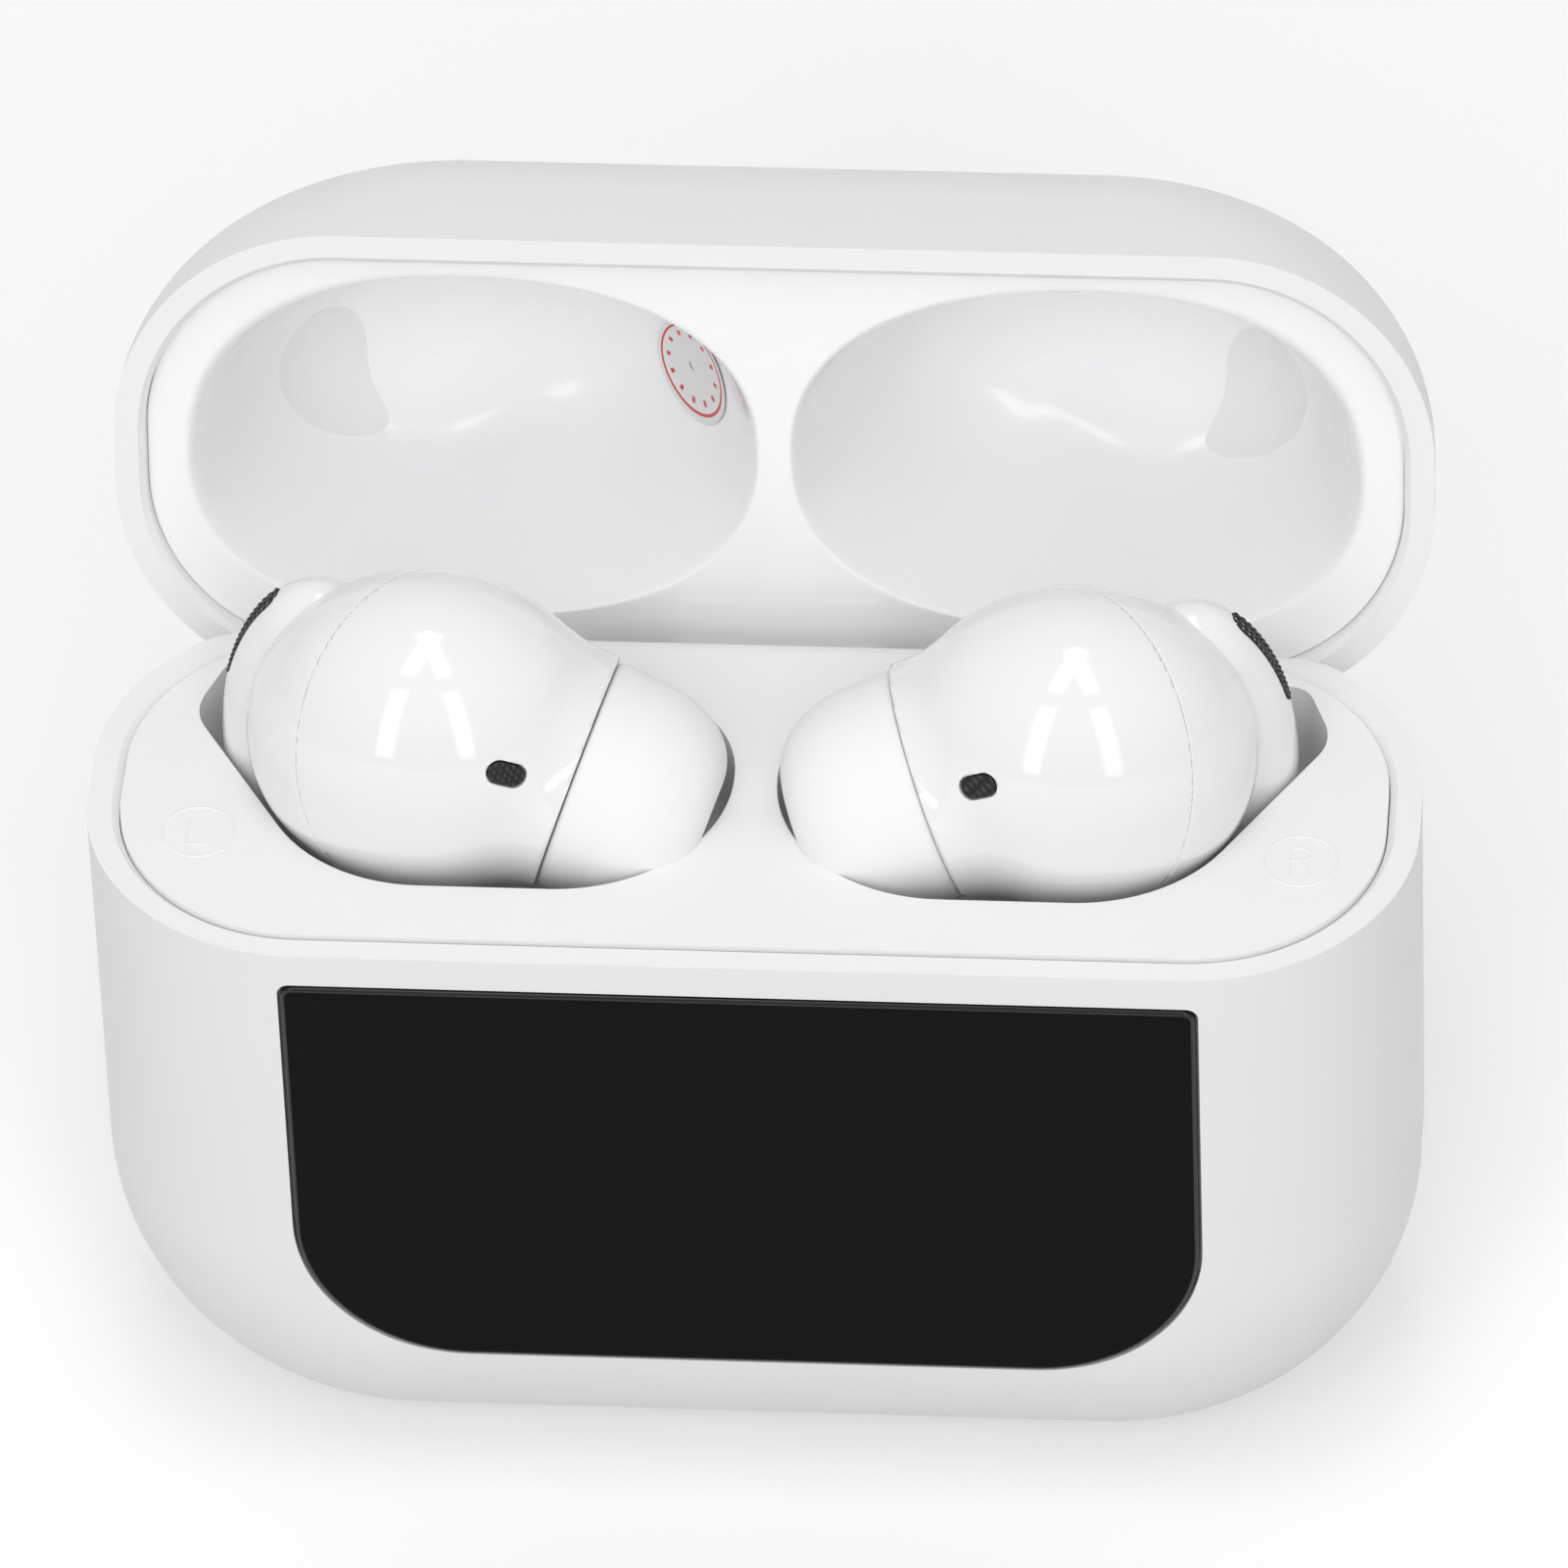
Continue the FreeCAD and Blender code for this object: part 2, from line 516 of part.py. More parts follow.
lip_half = "(hinge_half + notch_gap - 0.1)"
rear_lip = box("rear_lip", f"2 * {lip_half}", "lip_reach", "lip_thick", "-" + lip_half, "lip_front",
               "rim - lip_thick")
tray_solid = fuse("tray_solid", common("tray_inside", tray_outer, tray_parts), rear_lip)
cradle_hollow = fuse("cradle_hollow", cradle_space, well_space, *probe_holes)
magnet_seat = box("magnet_seat", "magnet_wide", "magnet_deep", "magnet_high", "-magnet_wide / 2",
                  "-magnet_front", "rim - magnet_high - magnet_drop")
finish("earbud_tray", cut("tray", tray_solid, both_sides("cradle_hollows", cradle_hollow), rear_round_cut,
                          hinge_room, magnet_seat))
finish("tray_magnet", box("base_magnet", "magnet_wide", "magnet_deep", "magnet_high", "-magnet_wide / 2",
                          "-magnet_front", "rim - magnet_high - magnet_drop"))
finish("cradle_magnets", both_sides("well_magnets", box(
    "well_magnet", "1.2", "4", "6", "stem_x + stem_radius + well_gap + well_wall + 0.02", "stem_y - 2",
    "rim - 20")))
holder_top = "rim - well_bottom - well_wall"
holder_block = box("holder_block", "5.6", "3", "1.8", "stem_x - 2.8", "stem_y - 1.5", f"{holder_top} - 1.8")
finish("contact_holders", both_sides("holders", cut("holder", holder_block, *probe_holes)))
for where, x in zip(("inner", "outer"), probe_places):
    probe = cylinder(f"probe_{where}", "probe_radius", "probe_length", x, "stem_y",
                     "rim - stem_bottom - probe_gap - probe_length")
    finish(f"right_{where}_probe", probe)
    finish(f"left_{where}_probe", mirror(f"probe_{where}_left", probe))

# ---------------------------------------------------------------------------------------------
# lid, drawn closed and then swung open about the pin

opened = FreeCAD.Placement(FreeCAD.Vector(), FreeCAD.Rotation(FreeCAD.Vector(1, 0, 0), -number("open_angle")),
                           FreeCAD.Vector(0, number("hinge_back"), number(hinge_height)))


def finish_open(label, shape):
    """Finish a piece of the lid and swing it open with the others."""
    holder = doc.addObject("Part::Compound", label + "_open")
    holder.Links = [shape]
    holder.Placement = opened
    return finish(label, holder)


lid_top = "rim + lid_height"
outer_lid = envelope("outer_lid", "0", "rim", lid_top, "lid_corner")
inner_lid = envelope("inner_lid", "lid_wall", "rim", f"{lid_top} - lid_wall", "lid_corner")
rimmed_lid = edges_of(cut("hollow_lid", outer_lid, inner_lid), "rim_chamfer - 0.05",
                      on_inner_rim("lid_wall", "rim"), "Part::Chamfer")
leaf_notch = box("leaf_notch", "2 * leaf_half + 0.5", "3.4", "2.2", "-leaf_half - 0.25", "9.2", "rim - 1")
leaf_front = "case_depth / 2 - lid_wall - 0.1 - leaf_thick"
leaf_screws = screws("leaf_screws", "2.8", leaf_front, "rim + 4")
finish_open("lid_shell", cut("lid", rimmed_lid, leaf_notch, leaf_screws))
finish_open("leaf_screws", leaf_screws)

liner_envelope = envelope("liner_envelope", "(lid_wall + seam_gap)", "rim",
                          f"{lid_top} - lid_wall - seam_gap", "lid_corner")
liner_sheet = box("liner_sheet", "case_width", "case_depth", "1.1", "-case_width / 2", "-case_depth / 2",
                  "rim + liner_drop")
dome = envelope("dome", "(case_depth / 2 - recess_front)", "rim",
                f"{lid_top} - case_depth / 2 + recess_front", "lid_corner")
dome_back = envelope("dome_back", "(case_depth / 2 - recess_front - liner_wall)", "rim",
                     f"{lid_top} - case_depth / 2 + recess_front + liner_wall", "lid_corner")
recess = common("recess", recess_prism("recess_prism", "0"), dome)
recess_back = common("recess_back", recess_prism("recess_back_prism", "liner_wall"), dome_back)
liner_parts = fuse("liner_parts", liner_sheet, recess_back, mirror("recess_back_left", recess_back))
liner_body = common("liner_body", liner_envelope, liner_parts)
lid_magnet_box = box("lid_magnet_box", "magnet_wide", "magnet_deep - 0.2", "magnet_high + 0.1",
                     "-magnet_wide / 2", "-magnet_front", "rim + liner_drop + 0.5")
liner_notch = box("liner_notch", "2 * leaf_half + 0.5", "3.4", "4", "-leaf_half - 0.25",
                  "leaf_inner - leaf_thick - 0.05", "rim - 1")
liner = cut("liner", liner_body, both_sides("recesses", recess), liner_notch, lid_magnet_box)
finish_open("lid_liner", liner)
finish_open("lid_magnet", lid_magnet_box)

sticker_face = envelope("sticker_face", "(case_depth / 2 - recess_front + 0.1)", "rim",
                        f"{lid_top} - case_depth / 2 + recess_front - 0.1", "lid_corner")
sticker_round = cylinder("sticker_round", "sticker_radius", "6", "-sticker_x", "sticker_y", "rim + 10")
finish_open("inspection_sticker", cut("sticker", common("sticker_slab", sticker_round,
                                                        mirror("recess_left", recess)), sticker_face))

leaf_arm = polygon_body("leaf_arm", [
    ("leaf_outer", "-2.2"), ("leaf_outer", "1.0"), ("leaf_inner", "1.0"), ("leaf_inner", "6.2"),
    ("leaf_inner - leaf_thick", "6.2"), ("leaf_inner - leaf_thick", "0.35"),
    ("leaf_outer - leaf_thick", "0.35"), ("leaf_outer - leaf_thick", "-2.2")],
    "2 * leaf_half", "YZ_Plane", midplane=True)
place(leaf_arm, z="rim")
middle_knuckle, middle_bore = barrel("middle_knuckle", "-leaf_half", "2 * leaf_half", "pin_radius + pin_fit")
finish_open("hinge_leaf", cut("leaf", fuse("leaf_body", leaf_arm, middle_knuckle), middle_bore, leaf_screws))

# ---------------------------------------------------------------------------------------------
# right earbud, standing in its cradle; each piece also gets a mirrored left twin

SEAM = (0.74, 0.64, -0.2)
SPOUT = (-0.942, -0.173, -0.288)


def along(direction, distance, y="head_y"):
    """Formulas for the point this far along a line that starts level with the head's centre."""
    names = ("head_x", y, "head_z + rim")
    return [f"{name} + {step} * ({distance})" for name, step in zip(names, direction)]


def down_spout(distance):
    """Formulas for a point on the spout's own axis, which runs a little behind the head's centre."""
    return along(SPOUT, distance, "head_y + spout_back")


def bud_pair(name, piece):
    finish("right_" + name, piece)
    finish("left_" + name, mirror(piece.Name + "_left", piece))


def head(name, grow):
    """The egg with its collar, cut off flat where the ear tip begins."""
    egg = ellipsoid(name + "_egg", f"head_wide + {grow}", f"head_deep + {grow}", f"head_high + {grow}",
                    "head_x", "head_y", "head_z + rim")
    collar = bind(doc.addObject("Part::Cone", name + "_collar"), Radius1=f"collar_root + {grow}",
                  Radius2=f"collar_rim + {grow}", Height="rim_at + 1 - collar_start")
    place(collar, *down_spout("collar_start"), towards(SPOUT))
    beyond = cylinder(name + "_beyond", "20", "20", *down_spout(f"rim_at + {grow}"), SPOUT)
    return cut(name, fuse(name + "_solid", egg, collar), beyond)


def shoulder(name, grow):
    """The housing behind the head, cut off level where it stands on the cradle's floor."""
    egg = ellipsoid(name + "_egg", f"shoulder_wide + {grow}", f"shoulder_deep + {grow}",
                    f"shoulder_high + {grow}", "shoulder_x", "shoulder_y", "rim")
    below = box(name + "_below", "20", "20", "20", "shoulder_x - 10", "shoulder_y - 10",
                f"rim - shoulder_seat - {grow} - 20")
    return cut(name, egg, below)


rear_half = cylinder("rear_half", "20", "30", *along(SEAM, "shell_seam"), SEAM)
head_outer = head("head_outer", "0")
head_inner = head("head_inner", "-bud_wall")
spout_outer = cylinder("spout_outer", "nozzle_radius", "nozzle_length", *down_spout("nozzle_start"), SPOUT)
spout_bore = cylinder("spout_bore", "nozzle_bore", "nozzle_length + 4", *down_spout("nozzle_start - 1"),
                      SPOUT)

PILL_SPOT = (-0.501, -0.815, 0.29)
PILL_NORMAL = (-0.428, -0.865, 0.259)
PILL_ACROSS = (0.83, -0.26, 0.49)


def sensor_pill(name, grow, thick):
    """A stadium lying on the head's front, its long side across."""
    body = stadium(name, f"pill_long + 2 * {grow}", f"pill_wide + 2 * {grow}", thick, "0", "0", "0")
    surface = [f"head_x + {PILL_SPOT[0]} * head_wide", f"head_y + {PILL_SPOT[1]} * head_deep",
               f"head_z + rim + {PILL_SPOT[2]} * head_high"]
    sunk = [f"{at} - {part} * pill_sunk" for at, part in zip(surface, PILL_NORMAL)]
    across, normal = FreeCAD.Vector(*PILL_ACROSS), FreeCAD.Vector(*PILL_NORMAL)
    turn = FreeCAD.Rotation(across, FreeCAD.Vector(), normal, "ZXY")
    return place(body, *sunk, turn)


window_seat = sensor_pill("window_seat", "pill_gap", "3 * pill_thick")
head_shell = cut("head_shell", head_outer, head_inner, rear_half, spout_outer, window_seat)
bud_pair("head_front", head_shell)
bud_pair("sensor_window", sensor_pill("window", "0", "pill_thick"))

stem_start = "(rim - stem_bottom + cap_height)"
stem_tube = cylinder("stem_tube", "stem_radius", f"rim - {stem_start}", "stem_x", "stem_y", stem_start)
stem_hole = cylinder("stem_hole", "stem_radius - stem_wall", "stem_bottom - cap_height + 1", "stem_x",
                     "stem_y", f"{stem_start} - 0.5")
shoulder_outer = shoulder("shoulder_outer", "0")
behind = cut("behind", fuse("shoulder_and_stem", shoulder_outer, stem_tube), head_outer)
rear_solid = fuse("rear_solid", behind, common("rear_cap", head_outer, rear_half))
mesh_band = box("mesh_band", "4", "vent_wide", "vent_long", "vent_x", "vent_y", "rim + vent_z")
mesh_core = ellipsoid("mesh_core", "shoulder_wide - vent_thick", "shoulder_deep - vent_thick",
                      "shoulder_high - vent_thick", "shoulder_x", "shoulder_y", "rim")
vent_mesh = cut("vent_strip", common("vent_slab", shoulder_outer, mesh_band), mesh_core)
bud_pair("head_rear", cut("rear_shell", rear_solid, head_inner, shoulder("shoulder_inner", "-bud_wall"),
                          stem_hole, vent_mesh))
bud_pair("vent_mesh", vent_mesh)

cap_solid = cylinder("cap_solid", "stem_radius", "cap_height", "stem_x", "stem_y", "rim - stem_bottom")
cap_round = edges_of(cap_solid, "0.9", lambda e: e.BoundBox.ZMax < number("rim - stem_bottom + 0.1"))
cap_plug = cylinder("cap_plug", "stem_radius - stem_wall", "cap_height + 0.6", "stem_x", "stem_y",
                    "rim - stem_bottom + 0.5")
pad_discs = [cylinder(f"pad_{i}", "contact_radius", "contact_thick", x, "stem_y", "rim - stem_bottom")
             for i, x in enumerate(probe_places)]
pads = group("pads", *pad_discs)
bud_pair("stem_cap", cut("cap", fuse("cap_body", cap_round, cap_plug), pads))
bud_pair("charge_pads", pads)

spout = cut("spout", spout_outer, spout_bore)
bud_pair("nozzle", spout)
bud_pair("nozzle_screen", cylinder("screen_disc", "nozzle_bore", "0.3",
                                   *down_spout("nozzle_start + nozzle_length - 0.6"), SPOUT))
tip_start = "(rim_at + tip_gap)"
tip_cone = bind(doc.addObject("Part::Cone", "tip_cone"), Radius1="tip_radius", Radius2="tip_radius - 1.0",
                Height="tip_length")
place(tip_cone, *down_spout(tip_start), towards(SPOUT))
doc.recompute()
tip_end = max(tip_cone.Shape.Edges, key=lambda e: -e.BoundBox.Center.x if e.Closed else -99)
tip_dome = edges_of(tip_cone, "tip_round", lambda e: e.isSame(tip_end))
skirt_void = cut("skirt_void",
                 cylinder("skirt_inside", "tip_radius - tip_wall", "tip_hollow",
                          *down_spout(f"{tip_start} - 0.5"), SPOUT),
                 cylinder("sleeve", "nozzle_radius + tip_wall", "tip_hollow + 2",
                          *down_spout(f"{tip_start} - 1"), SPOUT))
tip_hole = cylinder("tip_hole", "nozzle_bore", "8", *down_spout(f"{tip_start} + 2"), SPOUT)
bud_pair("ear_tip", cut("tip", tip_dome, skirt_void, tip_hole, spout_outer))

bud_pair("driver", cylinder("driver", "3.0", "2.4", *down_spout("2.2"), SPOUT))
bud_pair("cell", cylinder("bud_cell", "3.7", "3.6", "head_x + 0.1", "head_y", "head_z + rim", (1, 0, 0)))
bud_pair("circuit_board", box("bud_board", "3.2", "0.9", "16", "stem_x - 1.6", "stem_y - 0.45", "rim - 14"))
bud_pair("keeper_magnet", cylinder("keeper", "1.9", "3.5", "stem_x", "stem_y", "rim - 20.5"))

# ---------------------------------------------------------------------------------------------
# check and write

doc.recompute()
broken = [thing.Name for thing in doc.Objects if "Invalid" in thing.State or "Error" in thing.State]
broken += [piece.Label for piece in subparts if piece.Shape.isNull() or not piece.Shape.isValid()]
if broken:
    raise RuntimeError("not built: " + ", ".join(broken))
for piece in subparts:
    piece.Shape.exportStep(f"parts/{piece.Label}.step")
print(len(subparts), "sub-parts written")
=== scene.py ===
import json
import math

import bmesh
import bpy
import numpy as np
from mathutils import Matrix, Vector


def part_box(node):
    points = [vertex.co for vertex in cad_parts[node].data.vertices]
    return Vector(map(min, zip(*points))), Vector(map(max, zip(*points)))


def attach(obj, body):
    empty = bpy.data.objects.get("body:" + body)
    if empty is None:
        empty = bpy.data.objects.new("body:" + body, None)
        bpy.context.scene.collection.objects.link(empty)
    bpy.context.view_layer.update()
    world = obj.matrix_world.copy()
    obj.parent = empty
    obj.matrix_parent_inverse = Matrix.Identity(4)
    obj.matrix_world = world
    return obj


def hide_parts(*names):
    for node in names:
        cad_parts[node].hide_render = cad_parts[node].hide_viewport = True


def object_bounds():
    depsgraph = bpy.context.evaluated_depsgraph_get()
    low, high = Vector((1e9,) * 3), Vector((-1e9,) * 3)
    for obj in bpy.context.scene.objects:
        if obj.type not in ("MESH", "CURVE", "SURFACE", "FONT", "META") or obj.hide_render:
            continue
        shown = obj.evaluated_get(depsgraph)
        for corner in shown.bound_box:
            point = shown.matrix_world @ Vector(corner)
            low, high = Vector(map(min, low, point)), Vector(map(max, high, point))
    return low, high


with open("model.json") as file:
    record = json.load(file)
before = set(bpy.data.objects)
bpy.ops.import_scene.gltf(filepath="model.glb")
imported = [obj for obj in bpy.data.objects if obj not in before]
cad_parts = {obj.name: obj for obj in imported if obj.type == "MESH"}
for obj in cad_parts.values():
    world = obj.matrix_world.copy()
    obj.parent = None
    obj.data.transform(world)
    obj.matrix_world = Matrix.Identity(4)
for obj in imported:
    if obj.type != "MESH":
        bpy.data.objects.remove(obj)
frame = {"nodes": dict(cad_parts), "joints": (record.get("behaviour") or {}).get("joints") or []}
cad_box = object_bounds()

MM = 0.001
scene = bpy.context.scene


# --- places read from the frame ---------------------------------------------------------------

base_high = Vector(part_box("base_shell")[1])
RIM = base_high.z
HALF_WIDTH = base_high.x
HALF_DEPTH = base_high.y
hinge = next(joint for joint in frame["joints"] if joint["name"] == "lid_hinge")
HINGE_Y, HINGE_Z = hinge["pos_m"][1:]
LID_OPEN = math.radians(max(hinge["range_deg"]))


# --- materials --------------------------------------------------------------------------------

COAT_ROUGHNESS = 0.05
PLASTIC_IOR = 1.5
# how much lighter the painted edge highlight makes convex edges
EDGE_HIGHLIGHT_GAIN = 1.03


def new_material(name, color, roughness, metallic=0.0, coat=0.0, specular=0.5):
    material = bpy.data.materials.new(name)
    material.use_nodes = True
    shader = material.node_tree.nodes["Principled BSDF"]
    shader.inputs["Base Color"].default_value = (*color, 1)
    shader.inputs["Roughness"].default_value = roughness
    shader.inputs["Metallic"].default_value = metallic
    shader.inputs["Coat Weight"].default_value = coat
    shader.inputs["Coat Roughness"].default_value = COAT_ROUGHNESS
    shader.inputs["Specular IOR Level"].default_value = specular
    shader.inputs["IOR"].default_value = PLASTIC_IOR
    return material, shader


def noise(tree, size, detail=3.0, stretch=(1, 1, 1)):
    """Noise whose grains are about size metres across, fixed to the object."""
    coordinates = tree.nodes.new("ShaderNodeTexCoord")
    mapping = tree.nodes.new("ShaderNodeMapping")
    mapping.inputs["Scale"].default_value = [part / size for part in stretch]
    texture = tree.nodes.new("ShaderNodeTexNoise")
    texture.inputs["Scale"].default_value = 1.0
    texture.inputs["Detail"].default_value = detail
    tree.links.new(coordinates.outputs["Object"], mapping.inputs["Vector"])
    tree.links.new(mapping.outputs["Vector"], texture.inputs["Vector"])
    return texture.outputs["Fac"]


def ramp(tree, value, low, high, start=0.3, end=0.7):
    """Maps a 0..1 value to a colour or grey between low and high."""
    node = tree.nodes.new("ShaderNodeMapRange")
    node.inputs["From Min"].default_value = start
    node.inputs["From Max"].default_value = end
    node.inputs["To Min"].default_value = low
    node.inputs["To Max"].default_value = high
    tree.links.new(value, node.inputs["Value"])
    return node.outputs["Result"]


def mix_colors(tree, factor, first, second):
    node = tree.nodes.new("ShaderNodeMix")
    node.data_type = "RGBA"
    tree.links.new(factor, node.inputs["Factor"])
    node.inputs["A"].default_value = (*first, 1)
    node.inputs["B"].default_value = (*second, 1)
    return node.outputs["Result"]


def add_bump(tree, shader, height, depth):
    bump = tree.nodes.new("ShaderNodeBump")
    bump.inputs["Distance"].default_value = depth
    bump.inputs["Strength"].default_value = 1.0
    tree.links.new(height, bump.inputs["Height"])
    tree.links.new(bump.outputs["Normal"], shader.inputs["Normal"])


def plastic(name, color, roughness, grain=0.0, grain_size=0.25 * MM, tint=0.985, spread=0.05, **more):
    """Moulded plastic: faint cloudy colour, patches of finer polish, a painted highlight on convex edges, and
    mould grain.
    """
    material, shader = new_material(name, color, roughness, **more)
    tree = material.node_tree
    cloud = noise(tree, 9 * MM)
    shade = mix_colors(tree, ramp(tree, cloud, 0, 1), color, [part * tint for part in color])
    geometry = tree.nodes.new("ShaderNodeNewGeometry")
    # painted highlight: convex edges, found by pointiness, get a lighter colour
    edge = ramp(tree, geometry.outputs["Pointiness"], 0, 0.35, 0.52, 0.62)
    edge_highlight = tree.nodes.new("ShaderNodeMix")
    edge_highlight.data_type = "RGBA"
    tree.links.new(edge, edge_highlight.inputs["Factor"])
    tree.links.new(shade, edge_highlight.inputs["A"])
    edge_highlight.inputs["B"].default_value = (*[min(1.0, part * EDGE_HIGHLIGHT_GAIN) for part in color], 1)
    tree.links.new(edge_highlight.outputs["Result"], shader.inputs["Base Color"])
    polish = ramp(tree, noise(tree, 3.5 * MM, 5), max(0.02, roughness - spread), roughness + spread)
    tree.links.new(polish, shader.inputs["Roughness"])
    if grain:
        add_bump(tree, shader, noise(tree, grain_size, 2), grain)
    return material


def metal(name, color, roughness, brushed=(1, 1, 1), grain=0.004 * MM):
    material, shader = new_material(name, color, roughness, metallic=1.0)
    tree = material.node_tree
    streaks = noise(tree, 0.35 * MM, 4, brushed)
    tree.links.new(mix_colors(tree, ramp(tree, streaks, 0, 1), color, [part * 0.82 for part in color]),
                   shader.inputs["Base Color"])
    tree.links.new(ramp(tree, streaks, roughness * 0.75, roughness * 1.3), shader.inputs["Roughness"])
    add_bump(tree, shader, streaks, grain)
    return material


WHITE = (0.87, 0.87, 0.872)
shell_white = plastic("shell_white", WHITE, 0.42, grain=0.006 * MM, grain_size=0.16 * MM)
gloss_white = plastic("gloss_white", (0.86, 0.86, 0.864), 0.09, spread=0.02, coat=0.4)
liner_white = plastic("liner_white", (0.95, 0.945, 0.955), 0.16, spread=0.03, coat=0.3)
silicone = plastic("silicone_white", (0.88, 0.88, 0.885), 0.55, grain=0.01 * MM, grain_size=0.3 * MM)
screen_black = plastic("screen_ink", (0.004, 0.004, 0.0045), 0.3)
panel_dark = plastic("screen_panel", (0.009, 0.009, 0.010), 0.25, tint=0.9)
chip_black = plastic("chip_black", (0.02, 0.02, 0.021), 0.5, grain=0.01 * MM)
board_green = plastic("board_green", (0.02, 0.16, 0.07), 0.35)
ribbon_amber = plastic("ribbon_amber", (0.5, 0.24, 0.05), 0.3)
foil = metal("foil_silver", (0.72, 0.72, 0.74), 0.3)
steel = metal("hinge_steel", (0.66, 0.66, 0.68), 0.25, brushed=(0.1, 1, 1))
nickel = metal("magnet_nickel", (0.72, 0.71, 0.69), 0.15)
gold = metal("contact_gold", (0.9, 0.66, 0.28), 0.22)


def woven_mesh():
    """Fine black woven wire: two crossed sets of ridges."""
    material, shader = new_material("mesh_black", (0.025, 0.025, 0.026), 0.45, metallic=0.3)
    tree = material.node_tree
    coordinates = tree.nodes.new("ShaderNodeTexCoord")
    waves = []
    for turn in (45, -45):
        mapping = tree.nodes.new("ShaderNodeMapping")
        mapping.inputs["Rotation"].default_value = (math.radians(turn), math.radians(turn), 0)
        wave = tree.nodes.new("ShaderNodeTexWave")
        wave.inputs["Scale"].default_value = 1 / (0.9 * MM)
        tree.links.new(coordinates.outputs["Object"], mapping.inputs["Vector"])
        tree.links.new(mapping.outputs["Vector"], wave.inputs["Vector"])
        waves.append(wave.outputs["Fac"])
    both = tree.nodes.new("ShaderNodeMath")
    both.operation = "MULTIPLY"
    for socket, wave in zip(both.inputs, waves):
        tree.links.new(wave, socket)
    tree.links.new(mix_colors(tree, both.outputs[0], (0.008, 0.008, 0.009), (0.06, 0.06, 0.062)),
                   shader.inputs["Base Color"])
    add_bump(tree, shader, both.outputs[0], 0.05 * MM)
    return material


mesh_black = woven_mesh()
glass = plastic("screen_glass", (0.0035, 0.0035, 0.0036), 0.06, spread=0.015, tint=0.95, specular=0.07)
glass_edge = plastic("glass_edge", (0.006, 0.006, 0.0062), 0.08, spread=0.015, tint=0.95)
label_red = plastic("label_red", (0.62, 0.07, 0.07), 0.45)
paper = plastic("sticker_paper", (0.80, 0.79, 0.79), 0.4)

NODE_MATERIALS = {
    shell_white: ["base_shell", "lid_shell", "earbud_tray", "pairing_button"],
    liner_white: ["lid_liner"],
    gloss_white: ["head_front", "head_rear", "stem_cap"],
    silicone: ["ear_tip"],
    glass: ["display_glass"],
    screen_black: ["display_mask"],
    panel_dark: ["display_panel"],
    ribbon_amber: ["display_ribbon"],
    board_green: ["main_board", "circuit_board"],
    chip_black: ["processor_chip", "charger_chip", "memory_chip", "hall_sensor", "display_connector",
                 "port_tongue", "contact_holders", "pairing_switch"],
    foil: ["battery", "cell", "driver"],
    steel: ["charging_port", "hinge_bracket", "hinge_leaf", "hinge_pin", "hinge_springs", "bracket_screws",
            "leaf_screws", "nozzle"],
    nickel: ["tray_magnet", "lid_magnet", "cradle_magnets", "keeper_magnet"],
    gold: ["charge_pads", "inner_probe", "outer_probe"],
    mesh_black: ["vent_mesh", "sensor_window", "nozzle_screen"],
    paper: ["inspection_sticker"],
}


def material_for(node):
    for material, names in NODE_MATERIALS.items():
        if node in names or node.removeprefix("left_").removeprefix("right_") in names:
            return material
    raise KeyError(node)


for node, part in frame["nodes"].items():
    for slot in part.material_slots:
        slot.material = material_for(node)


# --- mesh helpers -----------------------------------------------------------------------------

def make_piece(name, mesh, materials, body):
    """Turn a bmesh into an object of the scene that rides on a body."""
    bmesh.ops.recalc_face_normals(mesh, faces=mesh.faces)
    for face in mesh.faces:
        face.smooth = True
    data = bpy.data.meshes.new(name)
    mesh.to_mesh(data)
    mesh.free()
    piece = bpy.data.objects.new(name, data)
    scene.collection.objects.link(piece)
    for material in materials:
        data.materials.append(material)
    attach(piece, body)
    return piece


def add_rings(mesh, rings, closed=True, start_pole=None, end_pole=None):
    """Quads between rings of points, all of one length; a pole closes an end with triangles."""
    rows = [[mesh.verts.new(point) for point in ring] for ring in rings]
    count = len(rows[0])
    spans = range(count if closed else count - 1)
    for low, high in zip(rows, rows[1:]):
        for i in spans:
            j = (i + 1) % count
            mesh.faces.new((low[i], low[j], high[j], high[i]))
    for pole, row in ((start_pole, rows[0]), (end_pole, rows[-1])):
        if pole is not None:
            tip = mesh.verts.new(pole)
            for i in spans:
                mesh.faces.new((row[i], row[(i + 1) % count], tip))
    return rows


def keep_side(mesh, point, normal):
    """Cut the mesh by a plane and keep the side that the normal points away from."""
    parts = mesh.verts[:] + mesh.edges[:] + mesh.faces[:]
    bmesh.ops.bisect_plane(mesh, geom=parts, plane_co=point, plane_no=normal, dist=1e-8,
                           clear_outer=True)


def roll_rim(mesh, centre, normal, steps):
    """Carry an open rim lying in a plane inwards in small steps, so that the wall gets a rounded edge."""
    axis = Vector(normal).normalized()
    rim = [edge for edge in mesh.edges if edge.is_boundary
           and all(abs((vert.co - centre).dot(axis)) < 2e-6 for vert in edge.verts)]
    for inward, back in steps:
        made = bmesh.ops.extrude_edge_only(mesh, edges=rim)["geom"]
        verts = [item for item in made if isinstance(item, bmesh.types.BMVert)]
        rim = [item for item in made if isinstance(item, bmesh.types.BMEdge)]
        middle = sum((vert.co for vert in verts), Vector()) / len(verts)
        for vert in verts:
            towards = middle - vert.co
            vert.co += towards.normalized() * inward - axis * back


def mirrored(mesh, side):
    """Right-hand meshes are turned into left-hand ones by mirroring them across the middle plane."""
    if side == "left":
        bmesh.ops.scale(mesh, vec=(-1, 1, 1), verts=mesh.verts)
        bmesh.ops.reverse_faces(mesh, faces=mesh.faces)
    return mesh


def smooth_min(first, second, blend):
    near = np.clip(0.5 + 0.5 * (second - first) / blend, 0, 1)
    return second * (1 - near) + first * near - blend * near * (1 - near)


